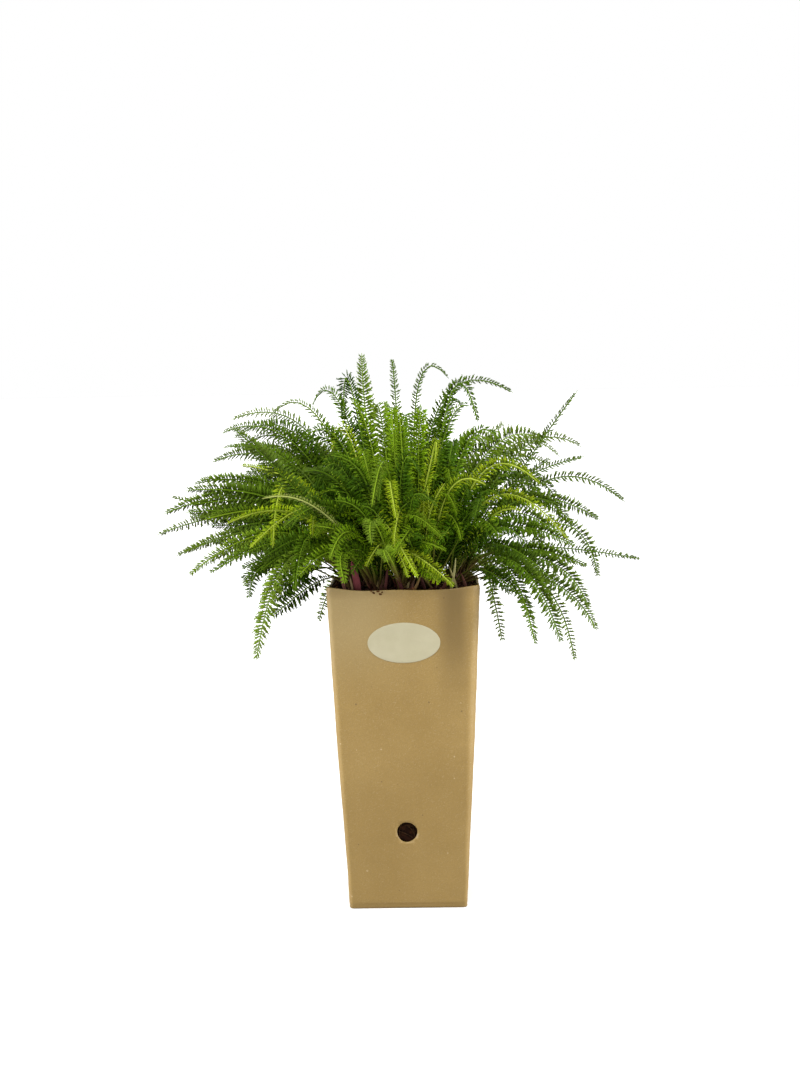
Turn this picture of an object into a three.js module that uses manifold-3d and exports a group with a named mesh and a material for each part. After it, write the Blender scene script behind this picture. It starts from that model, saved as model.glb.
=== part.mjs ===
// A yarrow plant in a tall square pot: the tapered fibre pot with its drain hole, the soil in it, a
// blank oval label, and the leafy shoots that stand in holes in the soil.
// Millimetres, +Z up. The origin is the centre of the pot's underside and the label faces -Y.

import * as THREE from 'three';
import Module from 'manifold-3d';
import { mergeVertices } from 'three/addons/utils/BufferGeometryUtils.js';

const wasm = await Module();
wasm.setup();

// ---- Driving dimensions ----

const POT_HEIGHT = 190;
const RIM_WIDTH = 90;
const BASE_WIDTH = 70;
const WALL = 1.6;
const FLOOR = 2.4;
const FOOT_CHAMFER = 1.2;
const SMALLEST_RADIUS = 0.8;
// Corner radii at the base and at the rim, counter-clockwise from the front right corner.
const CORNERS = [
  { base: 2.5, rim: 7.5 },
  { base: 3, rim: 6 },
  { base: 3, rim: 6 },
  { base: 3, rim: 4 },
];
const CORNER_STEPS = 4;

const DRAIN_DIAMETER = 12;
const DRAIN_HEIGHT = 46;
const DRAIN_SIDES = 20;
// The cutters run past the faces they open.
const CUT_PAST = 4;

const LABEL_WIDTH = 42.5;
const LABEL_HEIGHT = 23.7;
const LABEL_THICKNESS = 0.6;
const LABEL_BELOW_RIM = 31;
const LABEL_SIDES = 12;

const SEAT_GAP = 0.3;

const SOIL_BELOW_RIM = 3.5;
const SOIL_MOUND = 1.4;
const SOIL_CREST_SHARE = 0.93;

const STUB_RADIUS = 4.8;
const STUB_SIDES = 6;
const STUB_TOP = 3.6;
const STUB_DEPTH = 10;
const START_HEIGHT = 2.4;
// The stalks start along a line through the crown, the lowest leaf outermost.
const CROWN_SPREAD = 2.6;
const CROWN_SPREAD_ACROSS = 2.2;
const WEDGE = { outer: 12, inner: 24 };
const BOW = 9;
const ROLL_BY_SIDE = -34;
const ROLL_SPREAD = 50;
const LENGTH_SPREAD = [0.84, 1.12];
// The blade starts later on a leaf that reaches further, within a spread.
const BLADE_START = { near: 0.24, far: 0.4, span: 120, spread: 0.08 };
const BLADE_END = 0.965;
// The leaf turns on its stalk between these shares of its length.
const TURN = { from: 0.1, pastBladeStart: 0.25 };
const FIRST_SEED = 101;
const SEED_STEP = 17;

const OUTER_CROWN_RADIUS = 32;
const INNER_CROWN_RADIUS = 13;

const PETIOLE_STEPS = 2;
const STALK_HALF_WIDTH = 1.35;
const TIP_HALF_WIDTH = 0.5;
const KEEL_SHARE = 1.05;
const LEAFLET_PITCH = 8.6;
const LEAFLET_LENGTH = 7.6;
const LEAFLET_SWEEP = 0.62;
const LEAFLET_RISE = 0.4;
// Leaflets start at a share of their full length, are full by a share of the blade and then taper.
const LEAFLET_TAPER = { first: 0.45, full: 0.3, loss: 0.78, power: 2.8 };

// Each shoot stands on its own crown. A leaf is [azimuth in degrees, reach of its tip from the pot's
// axis, height of its tip over the rim, arch of its knee over the mean of the two ends, share of the
// way out at which the knee stands, its shift to the left seen from the axis], lowest leaf first.
// Azimuth 0 is +X, 90 is the back and 270 is the front.
const SHOOTS = [
  { name: 'shoot_right', ring: 'outer', azimuth: 0, leaves: [
    [-8, 59, -34, 62, 0.5, -2], [8, 64, -7, 22, 0.4, 0], [-6, 104, 12, 26, 0.38, 0],
    [4, 144, 12, 30, 0.1, 0], [-13, 104, 23, 42, 0.15, -10], [13, 123, 35, 62, 0.25, -10],
    [-4, 133, 47, 70, 0.5, 0], [5, 110, 75, 22, 0.1, -3], [12, 109, 114, 10, 0.5, 1],
  ] },
  { name: 'shoot_right_back', ring: 'outer', azimuth: 30, leaves: [
    [20, 98, -22, 62, 0.5, -3], [37, 89, 3, 30, 0.5, -1], [28, 137, -5, 70, 0.8, -14],
    [22, 104, 35, 82, 0.8, -11], [37, 110, 46, 70, 0.4, -8], [26, 124, 78, 70, 0.45, -2],
    [43, 136, 72, 78, 0.55, 2],
  ] },
  { name: 'shoot_back_right', ring: 'outer', azimuth: 60, leaves: [
    [60, 109, -23, 42, 0.8, -10], [67, 113, 6, 42, 0.5, -9], [52, 146, 27, 70, 0.4, 0],
    [62, 130, 57, 70, 0.2, 5], [68, 130, 83, 46, 0.25, 10], [56, 141, 79, 34, 0.3, 5],
    [62, 137, 95, 22, 0.6, 14],
  ] },
  { name: 'shoot_back', ring: 'outer', azimuth: 90, leaves: [
    [97, 123, -28, 42, 0.3, 5], [84, 83, -2, 50, 0.4, -1], [98, 125, 31, 58, 0.3, 0],
    [90, 84, 65, 90, 0.25, 0], [83, 106, 77, 62, 0.3, -3], [97, 138, 84, 62, 0.3, 0],
    [88, 39, 95, 2, 0.25, 4],
  ] },
  { name: 'shoot_back_left', ring: 'outer', azimuth: 120, leaves: [
    [128, 90, -30, 38, 0.55, 0], [112, 97, -2, 46, 0.4, 0], [126, 140, 33, 58, 0.3, 5],
    [120, 89, 47, 58, 0.5, 0], [111, 107, 75, 58, 0.2, 0], [128, 135, 88, 58, 0.3, 10],
    [119, 102, 91, 54, 0.25, 10],
  ] },
  { name: 'shoot_left_back', ring: 'outer', azimuth: 150, leaves: [
    [145, 80, -1, 30, 0.4, 0], [158, 116, 12, 42, 0.38, 5], [139, 131, 44, 50, 0.38, 0],
    [152, 137, 72, 62, 0.3, -3], [158, 121, 83, 54, 0.3, 10], [143, 138, 99, 78, 0.25, 0],
    [150, 132, 90, 70, 0.3, 4],
  ] },
  { name: 'shoot_left', ring: 'outer', azimuth: 180, leaves: [
    [178, 80, -18, 26, 0.1, 15], [188, 117, 10, 46, 0.22, 0], [167, 157, 30, 50, 0.3, -5],
    [182, 137, 18, 46, 0.3, -5], [171, 145, 54, 10, 0.2, 2], [178, 145, 43, 58, 0.2, 10],
    [186, 130, 59, 34, 0.22, 9], [175, 124, 64, 38, 0.42, 2],
  ] },
  { name: 'shoot_left_front', ring: 'outer', azimuth: 210, leaves: [
    [209, 99, -41, 82, 0.7, 2], [201, 97, -5, 38, 0.8, -27], [218, 80, 0, 66, 0.8, -5],
    [203, 135, 10, 58, 0.32, -7], [216, 123, 42, 46, 0.25, -10], [216, 108, 28, 70, 0.18, 3],
    [205, 103, 75, 34, 0.3, 0], [212, 89, 26, 102, 0.7, -29],
  ] },
  { name: 'shoot_front_left', ring: 'outer', azimuth: 240, leaves: [
    [250, 93, 8, 42, 0.6, -14], [231, 94, 11, 34, 0.35, -1], [231, 106, 39, 54, 0.2, 2],
    [244, 92, 21, 50, 0.5, 5], [238, 142, 58, 38, 0.4, 2], [231, 145, 97, 6, 0.28, -14],
    [242, 112, 73, 42, 0.2, -9],
  ] },
  { name: 'shoot_front', ring: 'outer', azimuth: 270, leaves: [
    [277, 75, 10, 78, 0.1, -37], [263, 125, 33, 50, 0.6, -14], [267, 125, 23, 30, 0.6, -10],
    [269, 92, 44, 82, 0.6, -11], [261, 100, 51, 94, 0.4, 3], [261, 80, 54, 66, 0.3, -5],
  ] },
  { name: 'shoot_front_right', ring: 'outer', azimuth: 300, leaves: [
    [297, 65, 2, 42, 0.4, -37], [291, 72, 24, 30, 0.1, -26], [310, 51, 32, 82, 0.55, 1],
    [297, 28, 39, 86, 0.6, 2], [303, 89, 61, 50, 0.4, -5], [292, 68, 63, 6, 0.15, -10],
    [312, 84, 30, 46, 0.28, 10],
  ] },
  { name: 'shoot_right_front', ring: 'outer', azimuth: 330, leaves: [
    [323, 96, -31, 58, 0.5, 21], [334, 102, -33, 66, 0.7, -15], [343, 105, -46, 58, 0.8, 8],
    [322, 112, 5, 46, 0.24, 0], [336, 123, -26, 38, 0.7, 2], [334, 120, -13, 46, 0.7, 11],
    [339, 104, 27, 78, 0.28, -3], [323, 100, 61, 70, 0.2, 5],
  ] },
  { name: 'heart_back_right', ring: 'inner', azimuth: 30, leaves: [
    [40, 116, 83, 66, 0.45, -5], [30, 79, 114, 98, 0.1, 23], [48, 55, 104, 82, 0.25, -9],
    [26, 32, 123, 102, 0.1, 28], [46, 24, 86, 102, 0.2, 2],
  ] },
  { name: 'heart_back', ring: 'inner', azimuth: 90, leaves: [
    [80, 54, 105, 2, 0.5, -12], [70, 67, 91, 78, 0.5, -7], [108, 63, 98, 94, 0.3, 9],
    [96, 62, 135, 62, 0.35, 2], [114, 25, 110, 38, 0.4, 4],
  ] },
  { name: 'heart_back_left', ring: 'inner', azimuth: 150, leaves: [
    [168, 81, 103, 90, 0.5, 3], [140, 73, 106, 98, 0.65, -4], [160, 37, 97, 134, 0.7, 16],
    [140, 31, 138, -2, 0.45, 7],
  ] },
  { name: 'heart_front_left', ring: 'inner', azimuth: 210, leaves: [
    [212, 69, 88, 74, 0.45, 5], [192, 42, 81, 94, 0.8, 7], [226, 50, 49, 94, 0.7, -46],
    [212, 35, 111, 42, 0.25, 4],
  ] },
  { name: 'heart_front', ring: 'inner', azimuth: 270, leaves: [
    [248, 48, 63, 90, 0.8, -14], [265, 40, 79, 122, 0.3, -8], [288, 20, 81, 110, 0.2, 1],
    [269, 30, 102, -10, 0.5, 3],
  ] },
  { name: 'heart_front_right', ring: 'inner', azimuth: 330, leaves: [
    [338, 63, 86, 78, 0.5, 5], [354, 46, 95, 126, 0.45, 14], [318, 40, 51, 86, 0.65, -1],
    [326, 49, 107, 62, 0.3, 10],
  ] },
];

// ---- Materials ----

const fibre = new THREE.MeshStandardMaterial({ color: '#ac905c', roughness: 0.9, metalness: 0 });
const earth = new THREE.MeshStandardMaterial({ color: '#3a2819', roughness: 0.95, metalness: 0 });
const paper = new THREE.MeshStandardMaterial({ color: '#ece6c8', roughness: 0.6, metalness: 0 });
const leafGreen = new THREE.MeshStandardMaterial({ color: '#4f8419', roughness: 0.6, metalness: 0 });
const heartGreen = new THREE.MeshStandardMaterial({ color: '#6da11d', roughness: 0.6, metalness: 0 });

// ---- Small tools ----

const radians = THREE.MathUtils.degToRad;
const mix = THREE.MathUtils.lerp;

// A repeatable stream of numbers from 0 to 1.
function draws(seed) {
  let state = seed;
  return () => {
    state = (state * 1664525 + 1013904223) % 4294967296;
    return state / 4294967296;
  };
}

function toGeometry(positions, indices) {
  const geometry = new THREE.BufferGeometry();
  geometry.setAttribute('position', new THREE.Float32BufferAttribute(positions, 3));
  geometry.setIndex(indices);
  return geometry;
}

function toSolid(geometry) {
  const bare = geometry.clone();
  bare.deleteAttribute('normal');
  bare.deleteAttribute('uv');
  const merged = mergeVertices(bare, 1e-5);
  return new wasm.Manifold(new wasm.Mesh({
    numProp: 3,
    vertProperties: new Float32Array(merged.attributes.position.array),
    triVerts: new Uint32Array(merged.index.array),
  }));
}

function fromSolid(solid) {
  const mesh = solid.getMesh();
  return toGeometry(mesh.vertProperties, Array.from(mesh.triVerts));
}

function namedMesh(name, geometry, material) {
  const mesh = new THREE.Mesh(geometry, material);
  mesh.name = name;
  return mesh;
}

// A closed body through rings of the same number of points, listed counter-clockwise, lowest first.
function loftBody(rings) {
  const sides = rings[0].length;
  const positions = rings.flat().flatMap((point) => [point.x, point.y, point.z]);
  const indices = [];
  for (let ring = 0; ring + 1 < rings.length; ring += 1) {
    for (let side = 0; side < sides; side += 1) {
      const next = (side + 1) % sides;
      const a = ring * sides + side;
      const b = ring * sides + next;
      const c = (ring + 1) * sides + next;
      const d = (ring + 1) * sides + side;
      indices.push(a, b, c, a, c, d);
    }
  }
  const top = (rings.length - 1) * sides;
  for (let side = 1; side + 1 < sides; side += 1) {
    indices.push(0, side + 1, side);
    indices.push(top, top + side, top + side + 1);
  }
  return toGeometry(positions, indices);
}

// ---- Pot ----

const wallLean = Math.atan((RIM_WIDTH - BASE_WIDTH) / 2 / POT_HEIGHT);
const widthAt = (z) => mix(BASE_WIDTH, RIM_WIDTH, z / POT_HEIGHT);

// The pot's rounded square outline at height z, moved inwards by inset.
function potRing(z, inset) {
  const half = widthAt(z) / 2 - inset;
  const turns = [[1, -1, -90], [1, 1, 0], [-1, 1, 90], [-1, -1, 180]];
  return turns.flatMap(([signX, signY, startAngle], corner) => {
    const full = mix(CORNERS[corner].base, CORNERS[corner].rim, z / POT_HEIGHT);
    const radius = Math.max(full - inset, SMALLEST_RADIUS);
    return Array.from({ length: CORNER_STEPS + 1 }, (_, step) => {
      const angle = radians(startAngle + (90 * step) / CORNER_STEPS);
      return new THREE.Vector3(
        signX * (half - radius) + radius * Math.cos(angle),
        signY * (half - radius) + radius * Math.sin(angle),
        z,
      );
    });
  });
}

function potGeometry() {
  const outside = loftBody([potRing(0, FOOT_CHAMFER), potRing(FOOT_CHAMFER, 0), potRing(POT_HEIGHT, 0)]);
  const room = loftBody([potRing(FLOOR, WALL), potRing(POT_HEIGHT + CUT_PAST, WALL)]);
  const drain = new THREE.CylinderGeometry(
    DRAIN_DIAMETER / 2, DRAIN_DIAMETER / 2, 2 * (WALL + CUT_PAST), DRAIN_SIDES,
  );
  drain.translate(0, -widthAt(DRAIN_HEIGHT) / 2, DRAIN_HEIGHT);
  return fromSolid(toSolid(outside).subtract(toSolid(room)).subtract(toSolid(drain)));
}

// ---- Crowns, which the soil and the shoots share ----

const soilTop = POT_HEIGHT - SOIL_BELOW_RIM;

function crownPlace(shoot) {
  const radius = shoot.ring === 'outer' ? OUTER_CROWN_RADIUS : INNER_CROWN_RADIUS;
  const angle = radians(shoot.azimuth);
  return new THREE.Vector3(radius * Math.cos(angle), radius * Math.sin(angle), 0);
}

function stubGeometry(shoot, radius, low, high) {
  const stub = new THREE.CylinderGeometry(radius, radius, high - low, STUB_SIDES);
  stub.rotateX(Math.PI / 2);
  const place = crownPlace(shoot);
  return stub.translate(place.x, place.y, (low + high) / 2);
}

// ---- Soil ----

function soilGeometry() {
  const inset = WALL + SEAT_GAP;
  const edge = potRing(soilTop - SOIL_MOUND, inset);
  const crest = edge.map((point) => (
    new THREE.Vector3(point.x * SOIL_CREST_SHARE, point.y * SOIL_CREST_SHARE, soilTop)
  ));
  const holeRadius = STUB_RADIUS + SEAT_GAP / Math.cos(Math.PI / STUB_SIDES);
  const holes = SHOOTS.map((shoot) => (
    stubGeometry(shoot, holeRadius, soilTop - STUB_DEPTH - SEAT_GAP, soilTop + CUT_PAST)
  ));
  return fromSolid(holes.reduce(
    (solid, hole) => solid.subtract(toSolid(hole)),
    toSolid(loftBody([potRing(FLOOR + SEAT_GAP, inset), edge, crest])),
  ));
}

// ---- Label ----

function labelMesh() {
  const outline = new THREE.Shape();
  outline.absellipse(0, 0, LABEL_WIDTH / 2, LABEL_HEIGHT / 2, 0, 2 * Math.PI, false);
  const geometry = new THREE.ExtrudeGeometry(outline, {
    depth: LABEL_THICKNESS, bevelEnabled: false, curveSegments: LABEL_SIDES,
  });
  const label = namedMesh('label', geometry, paper);
  const z = POT_HEIGHT - LABEL_BELOW_RIM;
  label.position.set(0, -widthAt(z) / 2 - SEAT_GAP, z);
  label.rotation.x = Math.PI / 2 + wallLean;
  return label;
}

// ---- Leaves ----

// The stalk's curve, from inside the crown to the tip, and how the blade is turned about it.
function leafForm(shoot, [azimuth, reach, rise, arch, lean, shift], order, draw) {
  const crown = crownPlace(shoot);
  const crownReach = Math.hypot(crown.x, crown.y);
  const angle = radians(azimuth);
  const outward = new THREE.Vector3(Math.cos(angle), Math.sin(angle), 0);
  const side = new THREE.Vector3(-Math.sin(angle), Math.cos(angle), 0);
  const across = (CROWN_SPREAD_ACROSS * (azimuth - shoot.azimuth)) / WEDGE[shoot.ring];
  const start = crown.clone()
    .addScaledVector(outward, CROWN_SPREAD * (1 - 2 * order))
    .addScaledVector(side, across)
    .setZ(soilTop + START_HEIGHT);
  const tip = outward.clone().multiplyScalar(reach).setZ(POT_HEIGHT + rise);
  const bow = shift + BOW * (draw() - 0.5);
  const knee = start.clone().lerp(tip, lean).addScaledVector(side, bow);
  knee.z = POT_HEIGHT + 0.5 * rise + arch;
  const lengthDraw = draw();
  const rollDraw = draw();
  const bladeDraw = draw();
  const farness = THREE.MathUtils.clamp((reach - crownReach) / BLADE_START.span, 0, 1);
  return {
    curve: new THREE.QuadraticBezierCurve3(start, knee, tip),
    side,
    roll: radians(ROLL_BY_SIDE * Math.cos(angle) + ROLL_SPREAD * (rollDraw - 0.5)),
    leaflet: LEAFLET_LENGTH * mix(...LENGTH_SPREAD, lengthDraw),
    bladeStart: mix(BLADE_START.near, BLADE_START.far, farness) + BLADE_START.spread * (bladeDraw - 0.5),
  };
}

// Leaflets are shorter at the foot of the blade and towards its tip.
const leafletShare = (along) => (
  Math.min(1, LEAFLET_TAPER.first + along / LEAFLET_TAPER.full)
    * (1 - LEAFLET_TAPER.loss * along ** LEAFLET_TAPER.power)
);

// A leaf is a three-sided stalk, whose lower side faces carry pointed leaflets along the blade.
function leafGeometry(form) {
  const { curve, side, roll, leaflet, bladeStart } = form;
  const bladeLength = curve.getLength() * (1 - bladeStart);
  const pairs = Math.round(bladeLength / LEAFLET_PITCH);
  const stations = [];
  for (let step = 0; step < PETIOLE_STEPS; step += 1) stations.push((bladeStart * step) / PETIOLE_STEPS);
  for (let pair = 0; pair <= pairs; pair += 1) stations.push(mix(bladeStart, BLADE_END, pair / pairs));
  const positions = [];
  const indices = [];
  const push = (point) => positions.push(point.x, point.y, point.z) / 3 - 1;

  const frames = stations.map((u) => {
    const place = curve.getPointAt(u);
    const along = curve.getTangentAt(u);
    const across = side.clone().addScaledVector(along, -side.dot(along)).normalize();
    const turn = roll * THREE.MathUtils.smoothstep(u, TURN.from, bladeStart + TURN.pastBladeStart);
    across.applyAxisAngle(along, turn);
    const face = new THREE.Vector3().crossVectors(along, across);
    const half = mix(STALK_HALF_WIDTH, TIP_HALF_WIDTH, u);
    const left = push(place.clone().addScaledVector(across, half));
    const right = push(place.clone().addScaledVector(across, -half));
    const keel = push(place.clone().addScaledVector(face, -2 * half * KEEL_SHARE));
    return { u, place, along, across, face, half, left, right, keel };
  });

  indices.push(frames[0].left, frames[0].keel, frames[0].right);
  for (let step = 0; step + 1 < frames.length; step += 1) {
    const from = frames[step];
    const to = frames[step + 1];
    indices.push(from.left, from.right, to.right, from.left, to.right, to.left);
    if (step < PETIOLE_STEPS) {
      indices.push(from.keel, from.left, to.left, from.keel, to.left, to.keel);
      indices.push(from.right, from.keel, to.keel, from.right, to.keel, to.right);
    } else {
      const share = leafletShare((step - PETIOLE_STEPS + 0.5) / pairs);
      const middle = from.place.clone().lerp(to.place, 0.5);
      const [leftTip, rightTip] = [1, -1].map((sign) => push(middle.clone()
        .addScaledVector(to.across, sign * leaflet * share)
        .addScaledVector(to.along, leaflet * share * LEAFLET_SWEEP)
        .addScaledVector(to.face, leaflet * share * LEAFLET_RISE)));
      indices.push(from.keel, from.left, leftTip, from.left, to.left, leftTip);
      indices.push(to.left, to.keel, leftTip, to.keel, from.keel, leftTip);
      indices.push(from.right, from.keel, rightTip, from.keel, to.keel, rightTip);
      indices.push(to.keel, to.right, rightTip, to.right, from.right, rightTip);
    }
  }
  const last = frames[frames.length - 1];
  const end = push(curve.getPointAt(1));
  indices.push(last.left, last.right, end, last.right, last.keel, end, last.keel, last.left, end);
  return toGeometry(positions, indices);
}

// One shoot: its crown stub, sunk in the soil, with all its leaves grown into it.
function shootMesh(shoot, index) {
  const draw = draws(FIRST_SEED + SEED_STEP * index);
  const stub = stubGeometry(shoot, STUB_RADIUS, soilTop - STUB_DEPTH, soilTop + STUB_TOP);
  const solid = shoot.leaves.reduce(
    (body, leaf, place, all) => (
      body.add(toSolid(leafGeometry(leafForm(shoot, leaf, place / (all.length - 1), draw))))
    ),
    toSolid(stub),
  );
  return namedMesh(shoot.name, fromSolid(solid), shoot.ring === 'outer' ? leafGreen : heartGreen);
}

// ---- Assembly ----

const plant = new THREE.Group();
plant.add(namedMesh('pot', potGeometry(), fibre));
plant.add(namedMesh('soil', soilGeometry(), earth));
plant.add(labelMesh());
SHOOTS.forEach((shoot, index) => plant.add(shootMesh(shoot, index)));

export default plant;
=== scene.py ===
"""A leafy yarrow plant in a tall square pot of moulded fibre card, dressed for a studio picture.

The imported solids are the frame. Every node is replaced by a finer piece that keeps its form: the pot's
wall, the root ball, the bare label, and one spray of feathery leaves for every shoot.
Metres, +Z up, the label faces -Y, and the origin is the centre of the pot's underside.
"""

import logging
import math
from collections.abc import Iterator, Sequence
from dataclasses import dataclass, field, replace
from enum import Enum

import bmesh
import bpy
import numpy as np
from mathutils import Matrix, Vector

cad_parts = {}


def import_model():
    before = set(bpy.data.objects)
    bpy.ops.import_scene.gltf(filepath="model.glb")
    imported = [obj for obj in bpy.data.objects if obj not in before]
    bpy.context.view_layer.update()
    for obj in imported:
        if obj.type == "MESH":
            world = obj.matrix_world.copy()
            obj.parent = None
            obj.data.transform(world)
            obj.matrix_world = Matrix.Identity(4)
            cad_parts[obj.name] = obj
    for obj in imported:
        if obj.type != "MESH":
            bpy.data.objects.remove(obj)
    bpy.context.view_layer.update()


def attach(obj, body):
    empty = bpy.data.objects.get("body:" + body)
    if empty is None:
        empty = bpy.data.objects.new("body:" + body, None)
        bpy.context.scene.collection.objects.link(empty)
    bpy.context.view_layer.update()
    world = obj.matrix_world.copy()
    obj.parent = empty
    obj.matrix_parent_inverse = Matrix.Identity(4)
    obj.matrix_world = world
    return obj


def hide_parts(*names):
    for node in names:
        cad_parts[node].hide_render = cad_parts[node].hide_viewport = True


log = logging.getLogger("yarrow")
MM = 0.001
TURN = 2.0 * math.pi
BODY = "root"
TINT = "tint"
BAKE_MAP = "OFBake"
Colour = tuple[float, float, float]
Material = bpy.types.Material
Node = bpy.types.Node
Piece = bpy.types.Object
Socket = bpy.types.NodeSocket


# ---------------------------------------------------------------- small tools


def linear(red: float, green: float, blue: float) -> np.ndarray:
    """Turns a colour of 0 to 255 sRGB values into linear light, as four numbers."""
    c = np.array([red, green, blue]) / 255.0
    return np.append(np.where(c <= 0.04045, c / 12.92, ((c + 0.055) / 1.055) ** 2.4), 1.0)


def smooth(low: float, high: float, value: np.ndarray) -> np.ndarray:
    """The smooth step of value between low and high."""
    t = np.clip((value - low) / (high - low), 0.0, 1.0)
    return t * t * (3.0 - 2.0 * t)


def hump(value: np.ndarray, centre: float, width: float) -> np.ndarray:
    """A soft hump of height 1 about centre."""
    return np.exp(-(((value - centre) / width) ** 2))


def mix(a: np.ndarray, b: np.ndarray, t: np.ndarray) -> np.ndarray:
    """Blends a into b by t."""
    return a + (b - a) * t


def unit(vectors: np.ndarray) -> np.ndarray:
    """The vectors at length 1."""
    return vectors / np.maximum(np.linalg.norm(vectors, axis=-1, keepdims=True), 1e-12)


def circle(sides: int, flat: float = 1.0) -> np.ndarray:
    """The corners of a round section of radius 1, flattened across, (sides, 2)."""
    angle = np.linspace(0.0, TURN, sides + 1)[:-1]
    return np.stack([np.cos(angle), flat * np.sin(angle)], 1)


def skin(rings: int, around: int, first: int = 0, ends: tuple[int, int] | None = None) -> np.ndarray:
    """The triangles of a closed body over stacked rings and two end points.

    Args:
        rings: how many rings there are.
        around: how many points a ring has.
        first: the index of the first ring's first point.
        ends: the indices of the two end points; without them these follow the rings.

    Returns:
        The triangles (n, 3), which face outwards where the rings turn to the left about their path.
    """
    start, end = ends or (first + rings * around, first + rings * around + 1)
    i, j = first + np.arange(rings - 1)[:, None] * around, np.arange(around)
    after = (j + 1) % around
    a, b = i + j, i + after
    sides = np.stack([a, b, b + around, a, b + around, a + around], -1).reshape(-1, 3)
    last = first + (rings - 1) * around
    near = np.stack([np.full(around, start), first + after, first + j], 1)
    far = np.stack([np.full(around, end), last + j, last + after], 1)
    return np.concatenate([sides, near, far])


def show(name: str, mesh: bpy.types.ID) -> Piece:
    """Makes an object and links it into the scene.

    Args:
        name: its name.
        mesh: its data: a mesh, a light or a camera.

    Returns:
        The new object.
    """
    piece = bpy.data.objects.new(name, mesh)
    bpy.context.scene.collection.objects.link(piece)
    return piece


def ring_body(name: str, rings: Sequence[np.ndarray]) -> Piece:
    """Makes a closed body of quads over stacked rings.

    Args:
        name: the object's name.
        rings: the rings' points in millimetres, each (n, 3).

    Returns:
        The new object.
    """
    bm = bmesh.new()
    rows = [[bm.verts.new(Vector(point) * MM) for point in ring] for ring in rings]
    for low, high in zip(rows, rows[1:]):
        for j in range(len(low)):
            k = (j + 1) % len(low)
            bm.faces.new((low[j], low[k], high[k], high[j]))
    bm.faces.new(list(reversed(rows[0])))
    bm.faces.new(rows[-1])
    bmesh.ops.recalc_face_normals(bm, faces=bm.faces)
    mesh = bpy.data.meshes.new(name)
    bm.to_mesh(mesh)
    bm.free()
    return show(name, mesh)


def settle(piece: Piece, node: str) -> None:
    """Puts a finished piece in the place of its node.

    Args:
        piece: the finished piece.
        node: the node that it stands for.
    """
    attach(piece, BODY)
    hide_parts(node)
    log.info("%s: %d faces for node %s", piece.name, len(piece.data.polygons), node)


class Ripple:
    """A repeatable smooth random field over points, made of a few plane waves."""

    def __init__(self, seed: int, wavelength: float, waves: int = 14) -> None:
        """Draws the waves.

        Args:
            seed: the seed of the draws.
            wavelength: the mean distance between crests, in the unit of the points.
            waves: how many plane waves are added up.
        """
        rng = np.random.default_rng(seed)
        aim = unit(rng.normal(size=(waves, 3)))
        self.k = aim * (TURN / wavelength) * rng.uniform(0.6, 1.6, (waves, 1))
        self.phase = rng.uniform(0.0, TURN, waves)
        self.gain = math.sqrt(2.0 / waves)

    def at(self, points: np.ndarray) -> np.ndarray:
        """The field at points of shape (..., 3), about -2 to 2."""
        return self.gain * np.sin(points @ self.k.T + self.phase).sum(-1)


@dataclass(frozen=True)
class Sliver:
    """The form of a small closed body that runs from a foot to a tip.

    Each corner has its share of the run, of the half width and of the rise, its step on the colour
    scale, and its share ahead and aside on the bake sheet. flat is the rise as a share of the half
    width, and sheet the width on the bake sheet as a share of the length.
    """

    flat: float
    sheet: float
    corners: tuple[tuple[float, ...], ...]
    faces: tuple[Sequence[int], ...]


TOOTH = Sliver(
    0.5, 0.2,
    ((1, 0, 0, 1, 1, 0), (0, 1, -0.5, 0, 0, 1), (0, 0, 1, 0, 0.3, 0), (0, -1, -0.5, 0, 0, -1)),
    ((1, 2, 0), (2, 3, 0), (3, 1, 0), (1, 3, 2)),
)
HAIR = Sliver(
    0.8, 0.16,
    ((0, 0, 0, 0, 0, 0), (1, 0, 0, 0, 1, 0), (0.2, 1, -0.4, 0, 0.2, 1), (0.2, 0, 0.8, 0, 0.4, 0),
     (0.2, -1, -0.4, 0, 0.2, -1)),
    ((2, 3, 1), (3, 4, 1), (4, 2, 1), (3, 2, 0), (4, 3, 0), (2, 4, 0)),
)


def paddle(belly: float, ridge: float = 0.42) -> Sliver:
    """The form of a leaflet: blunt at the foot, with a ridge on top.

    Args:
        belly: the share of its length where it is widest.
        ridge: the share of its length where it is thickest.

    Returns:
        The form.
    """
    return Sliver(
        0.4, 0.2,
        ((0, 0.5, 0, 0, 0, 0.5), (0, -0.5, 0, 0, 0, -0.5), (belly, -1, -0.4, 1, belly, -1),
         (1, 0, 0, 2, 1, 0), (belly, 1, -0.4, 1, belly, 1), (ridge, 0, 1, 0.5, ridge, 0)),
        ((1, 2, 5), (2, 3, 5), (3, 4, 5), (4, 0, 5), (0, 1, 5), (3, 2, 1), (3, 1, 0), (3, 0, 4)),
    )


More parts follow.
